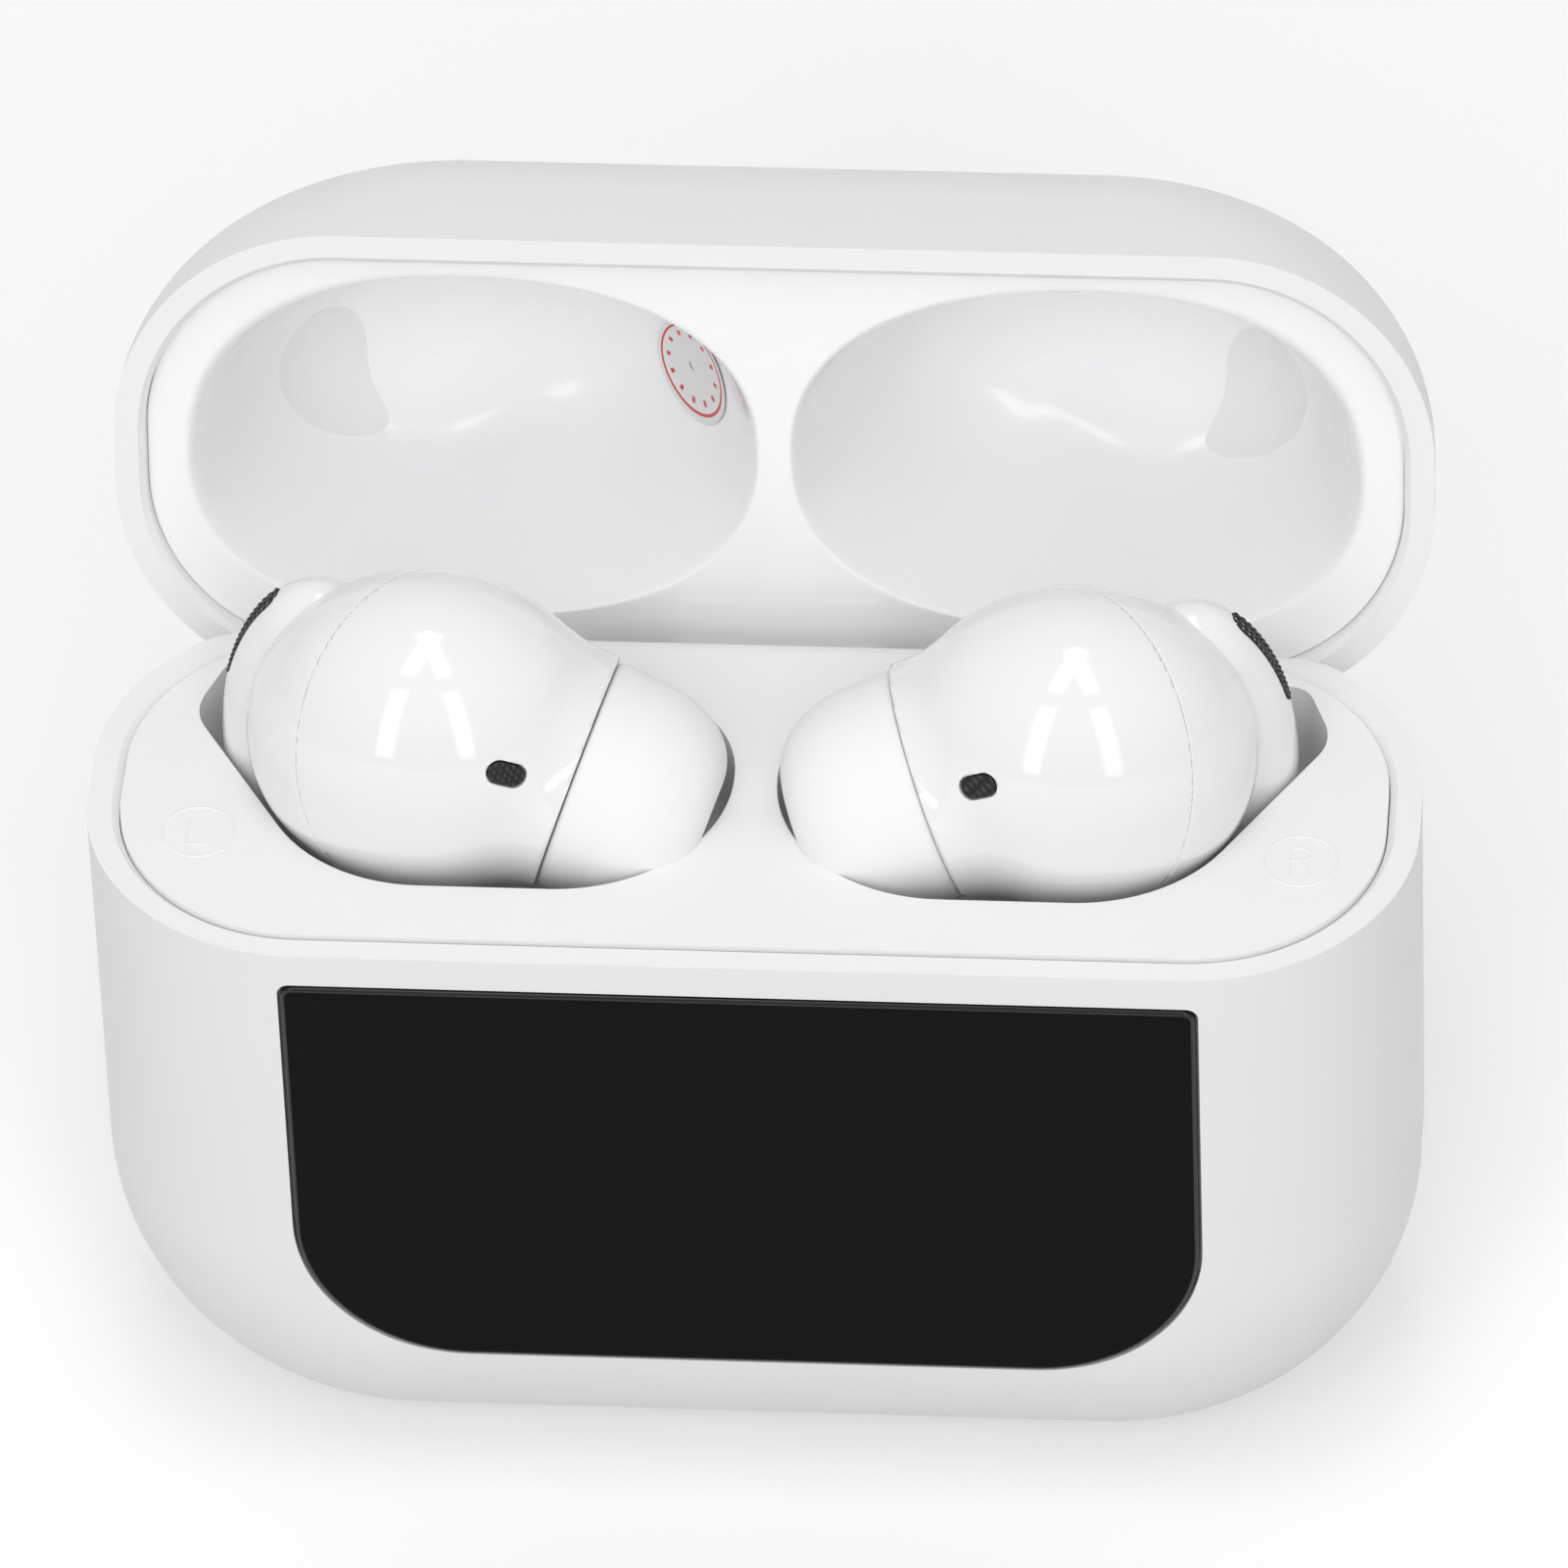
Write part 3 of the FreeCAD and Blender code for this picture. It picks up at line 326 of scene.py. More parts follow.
def cast(inside, origins, directions, reach):
    """Distances from the origins, along the directions, to where inside(points) turns positive."""
    low = np.zeros(len(directions))
    high = np.full(len(directions), reach)
    for _ in range(36):
        middle = (low + high) / 2
        value = inside(origins + directions * middle[:, None])
        low = np.where(value < 0, middle, low)
        high = np.where(value < 0, high, middle)
    return (low + high) / 2


# --- earbuds: drawn on the right, mirrored to the left ------------------------------------------

HEAD_CENTRE = np.array((15.1 * MM, 0.4 * MM, RIM + 3.2 * MM))
HEAD_RADII = np.array((8.45, 6.8, 8.1)) * MM
SPOUT = np.array((-0.942, -0.173, -0.288))
SPOUT /= np.linalg.norm(SPOUT)
SPOUT_ROOT = HEAD_CENTRE + np.array((0, 0.98 * MM, 0))
COLLAR_ROOT, COLLAR_TAPER, COLLAR_START = 5.93 * MM, 0.0274, 1.0 * MM
RIM_AT = 7.3 * MM
SHELL_SEAM = np.array((0.74, 0.64, -0.2))
SHELL_SEAM /= np.linalg.norm(SHELL_SEAM)
SEAM_POINT = HEAD_CENTRE + SHELL_SEAM * 0.7 * MM
SHOULDER_CENTRE = np.array((20.3 * MM, 3.6 * MM, RIM))
SHOULDER_RADII = np.array((4.85, 3.6, 9.2)) * MM
STEM_X, STEM_Y, STEM_RADIUS = 21.0 * MM, 3.0 * MM, 2.9 * MM
STEM_END = RIM - 22.0 * MM
TIP_START = RIM_AT + 0.04 * MM


def head_field(points):
    """Below zero inside the head: an egg that runs smoothly into a collar round the spout."""
    egg = (np.linalg.norm((points - HEAD_CENTRE) / HEAD_RADII, axis=1) - 1) * 6.8 * MM
    along = (points - SPOUT_ROOT) @ SPOUT
    round_axis = np.linalg.norm(points - SPOUT_ROOT - along[:, None] * SPOUT, axis=1)
    collar = np.maximum(round_axis - (COLLAR_ROOT - COLLAR_TAPER * along), COLLAR_START - along)
    return smooth_min(egg, collar, 0.9 * MM)


def axis_frame(axis):
    side = np.cross(axis, (0, 0, 1))
    side /= np.linalg.norm(side)
    return side, np.cross(axis, side)


def head_surface(rows=150, columns=220):
    """The whole head as one closed skin, its rings round the spout's axis."""
    side, top = axis_frame(SPOUT)
    mesh = bmesh.new()
    rings = []
    for i in range(1, rows):
        polar = math.pi * i / rows
        turns = np.linspace(0, 2 * math.pi, columns, endpoint=False)
        across = np.outer(np.cos(turns), side) + np.outer(np.sin(turns), top)
        directions = math.cos(polar) * SPOUT + math.sin(polar) * across
        distance = cast(head_field, HEAD_CENTRE, directions, 16 * MM)
        rings.append(HEAD_CENTRE + directions * distance[:, None])
    poles = np.array((SPOUT, -SPOUT))
    ends = HEAD_CENTRE + poles * cast(head_field, HEAD_CENTRE, poles, 16 * MM)[:, None]
    add_rings(mesh, rings, True, ends[0], ends[1])
    return mesh


RIM_ROLL = ((0.03 * MM, 0.0), (0.05 * MM, 0.03 * MM), (0.04 * MM, 0.07 * MM), (0.5 * MM, 0.05 * MM))
SEAM_ROLL = ((0.015 * MM, 0.01 * MM), (0.03 * MM, 0.0), (0.6 * MM, 0.0))


def head_front(side):
    mesh = head_surface()
    rim_point = Vector(SPOUT_ROOT + SPOUT * RIM_AT)
    keep_side(mesh, rim_point, SPOUT)
    roll_rim(mesh, rim_point, SPOUT, RIM_ROLL)
    keep_side(mesh, Vector(SEAM_POINT), SHELL_SEAM)
    roll_rim(mesh, Vector(SEAM_POINT), SHELL_SEAM, SEAM_ROLL)
    piece = make_piece(f"{side}_head_skin", mirrored(mesh, side), [gloss_white], f"{side}_earbud")
    cut_pill_seat(piece, side)
    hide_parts(f"{side}_head_front")


def head_cap(side):
    mesh = head_surface()
    keep_side(mesh, Vector(SEAM_POINT), -SHELL_SEAM)
    roll_rim(mesh, Vector(SEAM_POINT), -SHELL_SEAM, SEAM_ROLL)
    piece = make_piece(f"{side}_rear_cap", mirrored(mesh, side), [gloss_white], f"{side}_earbud")
    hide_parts(f"{side}_head_rear")


def housing_field(points):
    """Below zero inside the housing behind the head: the shoulder, running down into the stem."""
    shoulder = (np.linalg.norm((points - SHOULDER_CENTRE) / SHOULDER_RADII, axis=1) - 1) * 3.6 * MM
    stem = np.hypot(points[:, 0] - STEM_X, points[:, 1] - STEM_Y) - STEM_RADIUS
    stem = np.maximum(stem, points[:, 2] - (SHOULDER_CENTRE[2] + 1.5 * MM))
    return smooth_min(shoulder, stem, 0.6 * MM)


def housing(side, columns=120):
    """Rings at falling heights from the shoulder's crown to the stem's end."""
    crown = SHOULDER_CENTRE[2] + SHOULDER_RADII[2]
    heights = [SHOULDER_CENTRE[2] + SHOULDER_RADII[2] * math.cos(math.radians(angle))
               for angle in np.linspace(3, 90, 44)]
    heights += list(np.linspace(SHOULDER_CENTRE[2] - 0.3 * MM, STEM_END, 60))
    turns = np.linspace(0, 2 * math.pi, columns, endpoint=False)
    directions = np.column_stack((np.cos(turns), np.sin(turns), np.zeros(columns)))
    rings = []
    for height in heights:
        core = np.array((SHOULDER_CENTRE[0] + 0.3 * MM, SHOULDER_CENTRE[1] - 0.3 * MM, height))
        if height > SHOULDER_CENTRE[2]:
            core[:2] = SHOULDER_CENTRE[:2]
        distance = cast(housing_field, core, directions, 9 * MM)
        rings.append(core + directions * distance[:, None])
    mesh = bmesh.new()
    add_rings(mesh, rings, True, (SHOULDER_CENTRE[0], SHOULDER_CENTRE[1], crown),
              (STEM_X, STEM_Y, STEM_END))
    make_piece(f"{side}_housing", mirrored(mesh, side), [gloss_white], f"{side}_earbud")


def stadium_points(length, width, count):
    """Outline of a stadium, count points round each end."""
    half = (length - width) / 2
    ends = [(half, -math.pi / 2), (-half, math.pi / 2)]
    return [(centre + width / 2 * math.cos(start + math.pi * i / count),
             width / 2 * math.sin(start + math.pi * i / count))
            for centre, start in ends for i in range(count + 1)]


PILL_NORMAL = np.array((-0.428, -0.865, 0.259))
PILL_NORMAL /= np.linalg.norm(PILL_NORMAL)
PILL_ACROSS = np.array((0.83, -0.26, 0.49))
PILL_ACROSS -= PILL_NORMAL * (PILL_ACROSS @ PILL_NORMAL)
PILL_ACROSS /= np.linalg.norm(PILL_ACROSS)
PILL_CENTRE = HEAD_CENTRE + np.array((-0.501, -0.815, 0.29)) * HEAD_RADII
PILL_LONG, PILL_WIDE = 1.9 * MM, 1.05 * MM


def on_pill(u, v, out):
    up = np.cross(PILL_NORMAL, PILL_ACROSS)
    return PILL_CENTRE + PILL_ACROSS * u + up * v + PILL_NORMAL * out


def cut_pill_seat(piece, side):
    """Sink a stadium-shaped seat for the sensor window into the head's skin."""
    mesh = bmesh.new()
    outline = stadium_points(PILL_LONG + 0.26 * MM, PILL_WIDE + 0.26 * MM, 16)
    inner = stadium_points(PILL_LONG + 0.16 * MM, PILL_WIDE + 0.16 * MM, 16)
    rings = [[on_pill(u, v, out) for u, v in shape]
             for shape, out in ((inner, -0.45 * MM), (inner, -0.12 * MM), (outline, 0.5 * MM))]
    add_rings(mesh, rings, True, on_pill(0, 0, -0.45 * MM), on_pill(0, 0, 0.5 * MM))
    mirrored(mesh, side)
    bmesh.ops.recalc_face_normals(mesh, faces=mesh.faces)
    data = bpy.data.meshes.new("seat_cutter")
    mesh.to_mesh(data)
    mesh.free()
    cutter = bpy.data.objects.new("seat_cutter", data)
    scene.collection.objects.link(cutter)
    modifier = piece.modifiers.new("seat", "BOOLEAN")
    modifier.operation = "DIFFERENCE"
    modifier.solver = "EXACT"
    modifier.object = cutter
    bpy.context.view_layer.update()
    carved = bpy.data.meshes.new_from_object(piece.evaluated_get(bpy.context.evaluated_depsgraph_get()))
    piece.modifiers.clear()
    piece.data = carved
    bpy.data.objects.remove(cutter)


def sensor_window(side):
    """Black woven window: a stadium dome whose surface carries slanted ridges."""
    mesh = bmesh.new()
    scales = [1.0, 1.0, 0.96, 0.9] + list(np.linspace(0.84, 0.06, 22))
    depths = [-0.4, -0.06, -0.02, 0.0] + [0.012] * 22
    rings = []
    for scale, depth in zip(scales, depths):
        ring = []
        for u, v in stadium_points(PILL_LONG, PILL_WIDE, 26):
            u, v = u * scale, v * scale
            ridge = 0.02 * MM * math.cos(2 * math.pi * (u + v) / (0.24 * MM)) if scale < 0.9 else 0
            ring.append(on_pill(u, v, depth * MM + ridge))
        rings.append(ring)
    add_rings(mesh, rings, True, None, on_pill(0, 0, 0))
    piece = make_piece(f"{side}_sensor_weave", mirrored(mesh, side), [mesh_black], f"{side}_earbud")
    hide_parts(f"{side}_sensor_window")


VENT_LOW, VENT_HIGH = RIM + 3.6 * MM, RIM + 8.5 * MM
VENT_Y, VENT_WIDE = 3.85 * MM, 1.3 * MM


def vent_strip(side, rows=130, columns=36):
    """Curved strip of black wire mesh let into the shoulder, with round ends and woven wires."""
    mesh = bmesh.new()
    rings = []
    for i in range(rows + 1):
        height = VENT_LOW + (VENT_HIGH - VENT_LOW) * i / rows
        from_end = min(height - VENT_LOW, VENT_HIGH - height) / (VENT_WIDE / 2)
        half = VENT_WIDE / 2 * math.sqrt(max(0.02, 1 - max(0.0, 1 - from_end) ** 2))
        ring = []
        for j in range(columns + 1):
            share = 2 * j / columns - 1
            y = VENT_Y + half * share
            reach = 1 - ((y - SHOULDER_CENTRE[1]) / SHOULDER_RADII[1]) ** 2
            reach -= ((height - SHOULDER_CENTRE[2]) / SHOULDER_RADII[2]) ** 2
            point = np.array((SHOULDER_CENTRE[0] + SHOULDER_RADII[0] * math.sqrt(max(reach, 0.0)), y, height))
            normal = (point - SHOULDER_CENTRE) / SHOULDER_RADII ** 2
            normal /= np.linalg.norm(normal)
            pitch = 0.32 * MM
            weave = math.sin(math.pi * (y + height) / pitch) * math.sin(math.pi * (y - height) / pitch)
            edge = abs(share) > 0.93 or i in (0, rows)
            ring.append(point + normal * ((-0.2 if edge else 0.04 + 0.05 * weave) * MM))
        rings.append(ring)
    add_rings(mesh, rings, closed=False)
    piece = make_piece(f"{side}_vent_weave", mirrored(mesh, side), [mesh_black], f"{side}_earbud")
    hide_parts(f"{side}_vent_mesh")


def ear_tip(side, columns=128):
    """Silicone ear tip: a rounded bell with a rolled skirt, a hollow behind it and a sound hole."""
    length, radius, hole = 6.5 * MM, 5.5 * MM, 1.55 * MM
    outer = [(0.0, radius - 0.35 * MM), (0.02 * MM, radius - 0.12 * MM), (0.12 * MM, radius - 0.02 * MM),
             (0.3 * MM, radius)]
    dome_start = 1.9 * MM
    outer += [(0.3 * MM + (dome_start - 0.3 * MM) * i / 8, radius - 0.12 * MM * (i / 8) ** 2)
              for i in range(1, 9)]
    dome_radius = radius - 0.12 * MM
    mouth = hole + 0.15 * MM
    for i in range(1, 40):
        angle = math.pi / 2 * i / 40
        at = dome_start + (length - dome_start) * math.sin(angle) ** 1.02
        across = mouth + (dome_radius - mouth) * math.cos(angle) ** 0.86
        outer.append((at, across))
    outer += [(length - 0.01 * MM, hole + 0.12 * MM), (length - 0.1 * MM, hole),
              (length - 2.2 * MM, hole - 0.02 * MM), (length - 2.25 * MM, hole + 0.7 * MM),
              (0.4 * MM, hole + 1.3 * MM), (0.4 * MM, radius - 1.0 * MM)]
    across_axis, up_axis = axis_frame(SPOUT)
    start = SPOUT_ROOT + SPOUT * TIP_START
    rings = []
    for at, wide in outer:
        turns = np.linspace(0, 2 * math.pi, columns, endpoint=False)
        around = np.outer(np.cos(turns), across_axis) + np.outer(np.sin(turns), up_axis)
        rings.append(start + SPOUT * at + around * wide)
    mesh = bmesh.new()
    rows = add_rings(mesh, rings + [rings[0]])
    bmesh.ops.remove_doubles(mesh, verts=rows[0] + rows[-1], dist=1e-9)
    piece = make_piece(f"{side}_tip_silicone", mirrored(mesh, side), [silicone], f"{side}_earbud")
    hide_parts(f"{side}_ear_tip")


def earbud(side):
    head_front(side)
    head_cap(side)
    housing(side)
    vent_strip(side)
    sensor_window(side)
    ear_tip(side)


# --- lid liner, drawn closed and swung open with the lid ----------------------------------------

LINER_FACE = RIM + 1.0 * MM
LINER_X, LINER_Y, LINER_CORNER = HALF_WIDTH - 1.47 * MM, HALF_DEPTH - 1.47 * MM, 9.13 * MM
LINER_SKIRT = 0.9 * MM
SHOULDER_ANGLE = math.radians(40)
SHOULDER_ROOM = 0.08
BOWL_X, BOWL_Y = 13.9 * MM, -0.4 * MM
BOWL_WIDE, BOWL_DEEP, BOWL_DROP, BOWL_POWER = 13.05 * MM, 8.65 * MM, 13.0 * MM, 2.3


def swing_open(point):
    """A point of the closed lid, in the open lid."""
    y, z = point[1] - HINGE_Y, point[2] - HINGE_Z
    cos, sin = math.cos(-LID_OPEN), math.sin(-LID_OPEN)
    return (point[0], HINGE_Y + y * cos - z * sin, HINGE_Z + y * sin + z * cos)


def bowl_radius(angle):
    """Distance from the bowl's middle to its outline, a squarish egg."""
    across, along = abs(math.cos(angle)) / BOWL_WIDE, abs(math.sin(angle)) / BOWL_DEEP
    outline = (across ** BOWL_POWER + along ** BOWL_POWER) ** (-1 / BOWL_POWER)
    return outline * (1 + SHOULDER_ROOM * at_shoulder(angle) ** 2)


def at_shoulder(angle):
    """One in the direction where the earbud's shoulder needs room, and nought away from it."""
    return max(0.0, math.cos(angle - SHOULDER_ANGLE)) ** 2


def plate_radius(angle):
    """Distance from the bowl's middle to the edge of the liner's right half."""
    cos, sin = math.cos(angle), math.sin(angle)
    low, high = 0.0, 40 * MM
    for _ in range(40):
        reach = (low + high) / 2
        x, y = BOWL_X + reach * cos, BOWL_Y + reach * sin
        past_x, past_y = x - (LINER_X - LINER_CORNER), abs(y) - (LINER_Y - LINER_CORNER)
        if past_x > 0 and past_y > 0:
            outside = math.hypot(past_x, past_y) > LINER_CORNER
        else:
            outside = x > LINER_X or abs(y) > LINER_Y or x < 0
        low, high = (low, reach) if outside else (reach, high)
    return low


def bowl_height(share, angle):
    """Rise above the liner's face: steep behind the stem's shoulder, gentler with a soft lip in front."""
    rise = BOWL_DROP * (1 - share ** (4 + 4 * at_shoulder(angle)))
    softness = 0.5 + 0.5 * math.cos(angle + math.radians(50))
    blend = (0.5 + 3.2 * softness ** 2) * MM
    near = max(blend - abs(rise), 0.0) / blend
    return max(rise, 0.0) + near * near * blend / 4


def lid_liner():
    corners = [math.atan2(y - BOWL_Y, -BOWL_X) for y in (-LINER_Y, LINER_Y)]
    angles = sorted(list(np.linspace(-math.pi, math.pi, 240, endpoint=False)) + corners)
    shares = [0.06 + 0.86 * (i / 30) for i in range(31)] + [0.94, 0.955, 0.97, 0.98, 0.988, 0.994, 1.0]
    beyond = [0.012, 0.03, 0.06, 0.1, 0.16, 0.24, 0.34, 0.46, 0.6, 0.78, 0.97, 1.0]
    mesh = bmesh.new()
    for sign in (1, -1):
        rings = []
        for share in shares:
            rings.append([bowl_point(sign, angle, bowl_radius(angle) * share) for angle in angles])
        for step in beyond:
            ring = []
            for angle in angles:
                lip, edge = bowl_radius(angle), plate_radius(angle)
                ring.append(bowl_point(sign, angle, lip + (edge - lip) * step))
            rings.append(ring)
        centre = swing_open((sign * BOWL_X, BOWL_Y, LINER_FACE + BOWL_DROP))
        add_rings(mesh, rings, True, centre)
    bmesh.ops.remove_doubles(mesh, verts=mesh.verts, dist=1e-7)
    outline = [edge for edge in mesh.edges if edge.is_boundary]
    skirt = bmesh.ops.extrude_edge_only(mesh, edges=outline)["geom"]
    for vert in (item for item in skirt if isinstance(item, bmesh.types.BMVert)):
        vert.co += lid_up() * LINER_SKIRT
    piece = make_piece("liner_bowls", mesh, [liner_white], "lid")
    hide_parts("lid_liner")


def lid_up():
    """Direction of the closed lid's height in the open lid."""
    return Vector(swing_open((0, 0, 1))) - Vector(swing_open((0, 0, 0)))


def bowl_point(sign, angle, reach):
    rise = bowl_height(reach / bowl_radius(angle), angle)
    x = BOWL_X + reach * math.cos(angle)
    return swing_open((sign * max(x, 0.0), BOWL_Y + reach * math.sin(angle), LINER_FACE + rise))


STICKER_X, STICKER_Y = 4.6 * MM, -0.2 * MM


def sticker():
    """Round paper label on the left bowl's inner wall, with a printed ring and tick marks."""
    rings_at = [0.2, 0.9, 1.45, 1.7, 1.95, 2.07, 2.2, 2.3]
    count = 96
    mesh = bmesh.new()
    rings = []
    for at in rings_at:
        ring = []
        for i in range(count):
            turn = 2 * math.pi * i / count
            x = STICKER_X + at * MM * 0.8 * math.cos(turn)
            y = STICKER_Y + at * MM * math.sin(turn)
            angle = math.atan2(y - BOWL_Y, x - BOWL_X)
            share = math.hypot(x - BOWL_X, y - BOWL_Y) / bowl_radius(angle)
            rise = bowl_height(share, angle) - 0.05 * MM
            inward = 0.05 * MM
            ring.append(swing_open((-(x + inward), y, LINER_FACE + rise)))
        rings.append(ring)
    add_rings(mesh, rings)
    mesh.faces.ensure_lookup_table()
    ticks = {i for hour in range(12) for i in (hour * count // 12, hour * count // 12 + 1)}
    for index, face in enumerate(mesh.faces):
        ring, place_round = divmod(index, count)
        printed = ring == 4 or (ring == 2 and place_round in ticks)
        face.material_index = 1 if printed else 0
    piece = make_piece("check_label", mesh, [paper, label_red], "lid")
    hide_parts("inspection_sticker")


# --- screen glass -------------------------------------------------------------------------------

def screen_glass():
    """Cover glass with rounded-over front edges; its foot corners are large, its head corners small."""
    low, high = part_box("display_glass")
    half = high.x
    foot_round, head_round = 7.93 * MM, 0.6 * MM

    def outline(inset):
        points = []
        corners = [(half, low.z, foot_round, -90), (half, high.z, head_round, 0),
                   (-half, high.z, head_round, 90), (-half, low.z, foot_round, 180)]
        for x, z, radius, start in corners:
            centre_x = x - math.copysign(radius, x)
            centre_z = z + radius if z == low.z else z - radius
            for i in range(25):
                turn = math.radians(start + 90 * i / 24)
                points.append((centre_x + (radius - inset) * math.cos(turn),
                               centre_z + (radius - inset) * math.sin(turn)))
        return points

    edge = 0.22 * MM
    profile = [(0.0, high.y), (0.0, low.y + edge)]
    for angle in (15, 30, 45, 60, 75, 90):
        turn = math.radians(angle)
        profile.append((edge * (1 - math.cos(turn)), low.y + edge * (1 - math.sin(turn))))
    profile += [(0.5 * MM, low.y)]
    mesh = bmesh.new()
    rings = [[(x, depth, z) for x, z in outline(inset)] for inset, depth in profile]
    rows = add_rings(mesh, rings)
    mesh.faces.new(rows[-1])
    mesh.faces.new(rows[0])
    mesh.faces.ensure_lookup_table()
    round_count = len(rows[0])
    for index, face in enumerate(mesh.faces):
        if index < round_count * (len(profile) - 2):
            face.material_index = 1
    piece = make_piece("cover_glass", mesh, [glass, glass_edge], "case")
    piece.data.polygons[-1].use_smooth = False
    piece.data.polygons[-2].use_smooth = False
    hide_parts("display_glass")


# --- left and right marks on the tray -------------------------------------------------------------

MARK_X, MARK_Y, MARK_RADIUS, MARK_LINE, MARK_HIGH = 25.6 * MM, -3.5 * MM, 1.7 * MM, 0.13 * MM, 0.035 * MM


def raised_strip(mesh, path, closed=False):
    """A low ridge with a rounded top along a path in the tray's plane."""
    rings = []
    count = len(path)
    for i, point in enumerate(path):
        ahead = path[(i + 1) % count] if closed or i < count - 1 else point
        behind = path[i - 1] if closed or i > 0 else point
        along = (Vector(ahead) - Vector(behind)).normalized()
        across = Vector((-along.y, along.x)) * MARK_LINE / 2
        ring = []
        for j in range(7):
            turn = math.pi * j / 6
            offset = across * math.cos(turn)
            ring.append((point[0] + offset.x, point[1] + offset.y, RIM + MARK_HIGH * math.sin(turn) - 2e-6))
        rings.append(ring)
    add_rings(mesh, rings + ([rings[0]] if closed else []), closed=False)


def side_mark(side):
    """A raised ring round the letter for its side."""
    sign = 1 if side == "right" else -1
    centre_x, centre_y = sign * MARK_X, MARK_Y
    mesh = bmesh.new()
    circle = [(centre_x + MARK_RADIUS * math.cos(turn), centre_y + MARK_RADIUS * math.sin(turn))
              for turn in np.linspace(0, 2 * math.pi, 72, endpoint=False)]
    raised_strip(mesh, circle, closed=True)
    high, wide = 0.85 * MM, 0.5 * MM
    left, foot, head = centre_x - wide, centre_y - high, centre_y + high
    raised_strip(mesh, [(left, head - 2 * high * i / 12) for i in range(13)])
    if side == "left":
        raised_strip(mesh, [(left + 2 * wide * i / 8, foot) for i in range(9)])
    else:
        bow = [(left + wide + 0.45 * MM * math.cos(turn), head - 0.42 * MM + 0.42 * MM * math.sin(turn))
               for turn in np.linspace(math.pi / 2, -math.pi / 2, 16)]
        raised_strip(mesh, [(left, head)] + bow + [(left, head - 0.84 * MM)])
        raised_strip(mesh, [(left + wide + 0.45 * MM * i / 8, head - 0.84 * MM - 0.86 * MM * i / 8)
                            for i in range(9)])
    make_piece(f"{side}_mark", mesh, [shell_white], "case")


# --- build --------------------------------------------------------------------------------------

for side in ("left", "right"):
    earbud(side)
    side_mark(side)
lid_liner()
sticker()
screen_glass()


# --- floor, light and camera ------------------------------------------------------------------

FLOOR_GLOW = 0.12


def floor():
    """Pale floor that glows faintly and throws no light back on the object."""
    mesh = bmesh.new()
    bmesh.ops.create_grid(mesh, x_segments=8, y_segments=8, size=1.2)
    data = bpy.data.meshes.new("floor")
    mesh.to_mesh(data)
    mesh.free()
    piece = bpy.data.objects.new("floor", data)
    piece.location.z = cad_box[0][2] if cad_box[0][2] < 0 else 0
    piece.visible_diffuse = False
    scene.collection.objects.link(piece)
    material, shader = new_material("floor", (0.93, 0.93, 0.935), 0.9, specular=0.1)
    tree = material.node_tree
    tree.links.new(mix_colors(tree, noise(tree, 60 * MM), (0.93, 0.93, 0.935), (0.915, 0.915, 0.92)),
                   shader.inputs["Base Color"])
    shader.inputs["Emission Color"].default_value = (1, 1, 1, 1)
    shader.inputs["Emission Strength"].default_value = FLOOR_GLOW
    data.materials.append(material)


def from_angles(azimuth, elevation):
    """Direction from the object towards a place, azimuth from the front (-Y) towards +X."""
    turn, rise = math.radians(azimuth), math.radians(elevation)
    return Vector((math.sin(turn) * math.cos(rise), -math.cos(turn) * math.cos(rise), math.sin(rise)))


LIGHT_BELOW, LIGHT_ABOVE = 0.54, 0.66
LIGHT_DISTANCE = 0.7
SOFTBOX_TURN, SOFTBOX_WIDTH = 21, 0.122


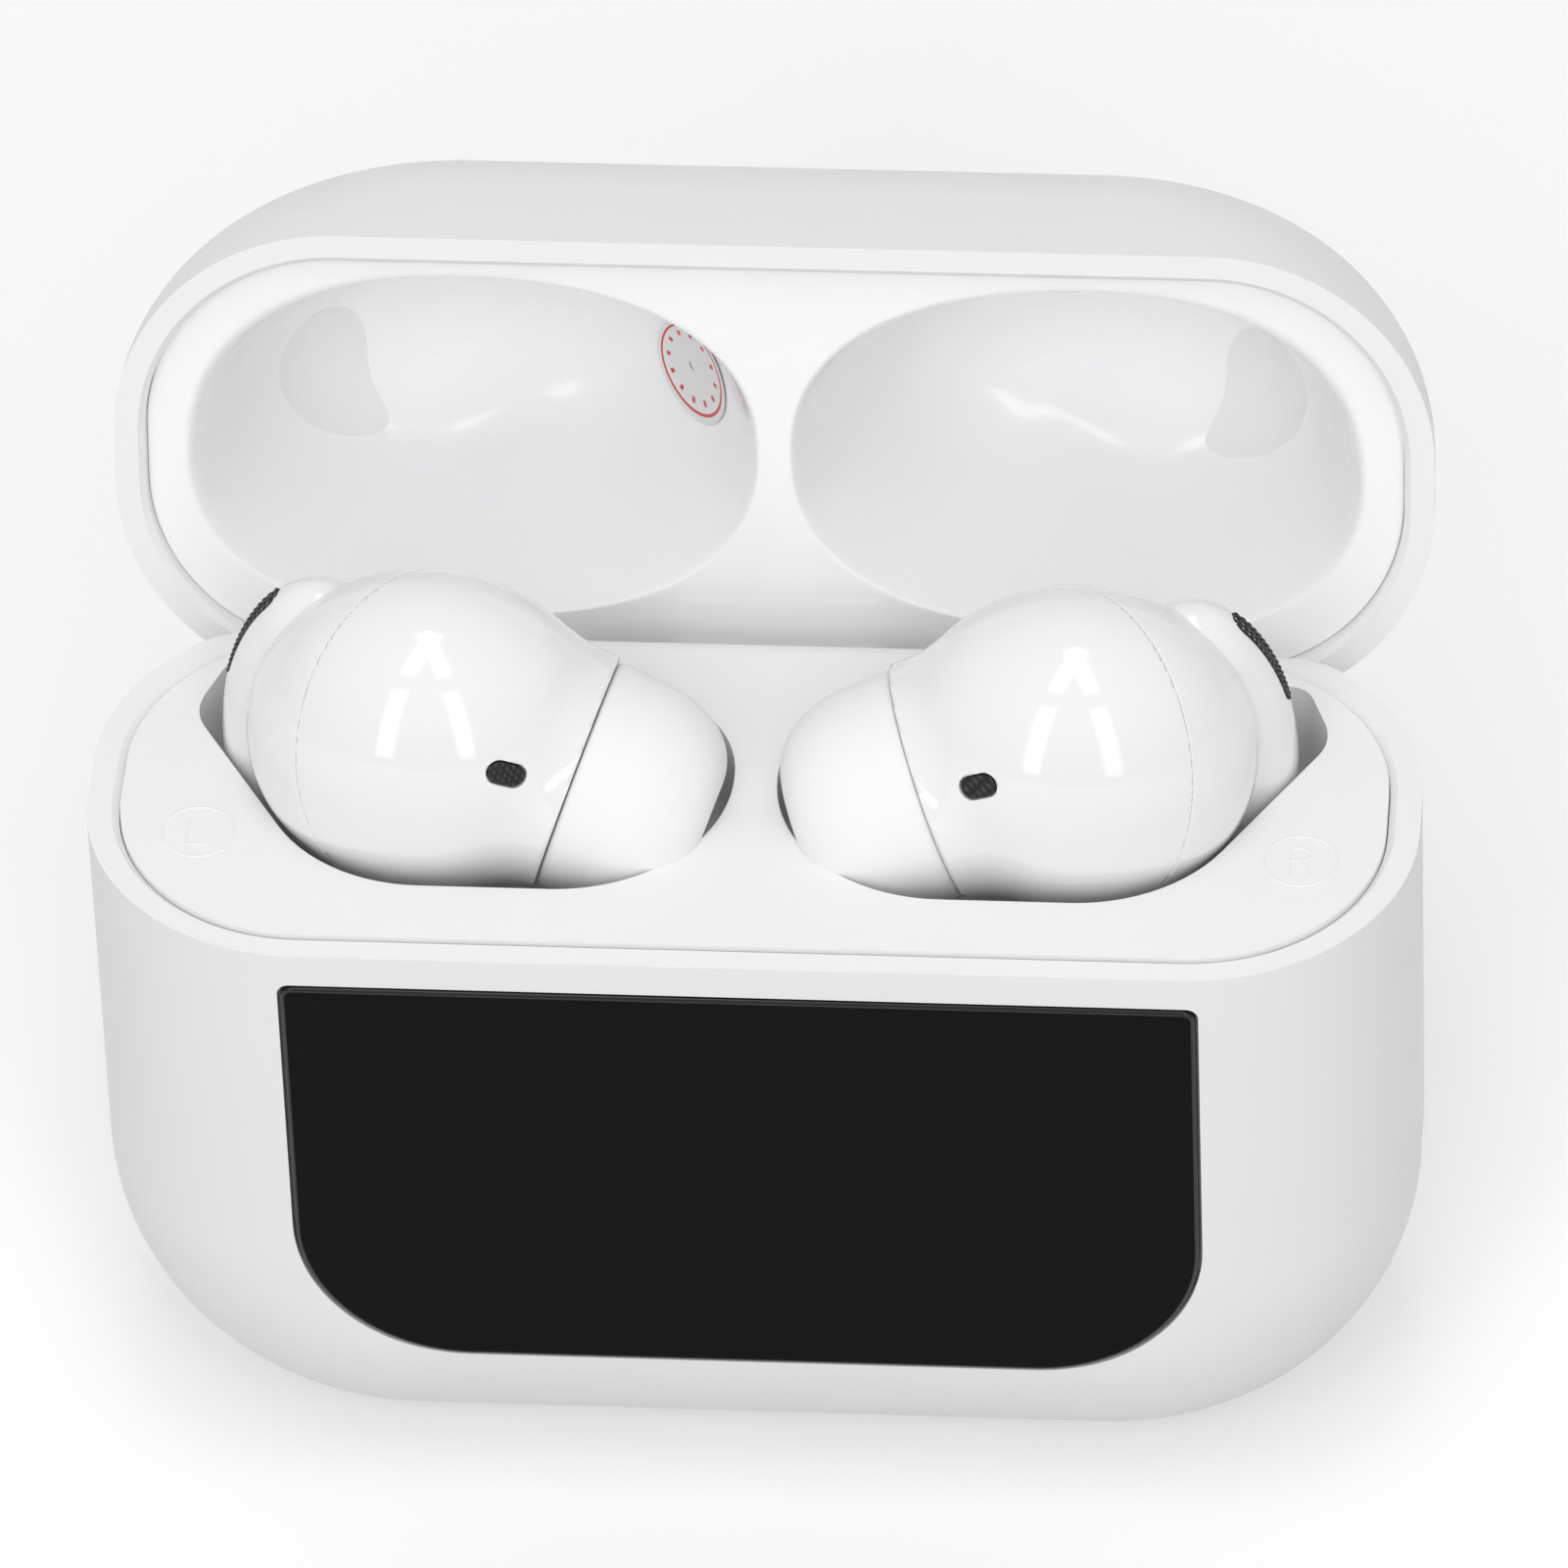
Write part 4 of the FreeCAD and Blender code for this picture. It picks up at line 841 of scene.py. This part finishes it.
def area_light(name, azimuth, elevation, distance, width, height, power):
    light = bpy.data.lights.new(name, "AREA")
    light.shape = "RECTANGLE"
    light.size = width
    light.size_y = height
    light.energy = power
    lamp = bpy.data.objects.new(name, light)
    scene.collection.objects.link(lamp)
    direction = from_angles(azimuth, elevation)
    lamp.location = Vector((0, 0, RIM)) + direction * distance
    lamp.rotation_euler = direction.to_track_quat("Z", "Y").to_euler()
    return lamp


def lighting():
    world = bpy.data.worlds.new("studio")
    scene.world = world
    world.use_nodes = True
    world.node_tree.nodes["Background"].inputs["Color"].default_value = (1.0, 1.0, 1.0, 1)
    tree = world.node_tree
    coordinates = tree.nodes.new("ShaderNodeTexCoord")
    split = tree.nodes.new("ShaderNodeSeparateXYZ")
    tree.links.new(coordinates.outputs["Generated"], split.inputs["Vector"])
    tree.links.new(ramp(tree, split.outputs["Z"], LIGHT_BELOW, LIGHT_ABOVE, -0.3, 0.6),
                   tree.nodes["Background"].inputs["Strength"])
    for turn in (-SOFTBOX_TURN, SOFTBOX_TURN):
        area_light(f"lower_softbox_{turn}", turn, 26, LIGHT_DISTANCE, SOFTBOX_WIDTH, 0.59, 0.47)
        area_light(f"upper_softbox_{turn}", turn, 80, LIGHT_DISTANCE, SOFTBOX_WIDTH, 0.51, 0.39)
    key = area_light("key", 0, 38, LIGHT_DISTANCE, 0.6, 0.4, 1.1)
    key.visible_glossy = False


CAMERA_AZIMUTH = 5.76
CAMERA_ELEVATION = 41.84
CAMERA_ROLL = -2.34
CAMERA_DISTANCE = 781.3 * MM
CAMERA_LENS = 377.1
CAMERA_AIM = Vector((0, 14.1 * MM, RIM - 11.9 * MM))


def camera():
    data = bpy.data.cameras.new("camera")
    data.sensor_width = 36
    data.lens = CAMERA_LENS
    data.clip_start = 0.01
    eye = bpy.data.objects.new("camera", data)
    scene.collection.objects.link(eye)
    back = from_angles(CAMERA_AZIMUTH, CAMERA_ELEVATION)
    eye.location = CAMERA_AIM + back * CAMERA_DISTANCE
    upright = back.to_track_quat("Z", "Y").to_matrix()
    eye.rotation_euler = (upright @ Matrix.Rotation(math.radians(CAMERA_ROLL), 3, "Z")).to_euler()
    scene.camera = eye


floor()
lighting()
camera()
scene.view_settings.view_transform = "Standard"
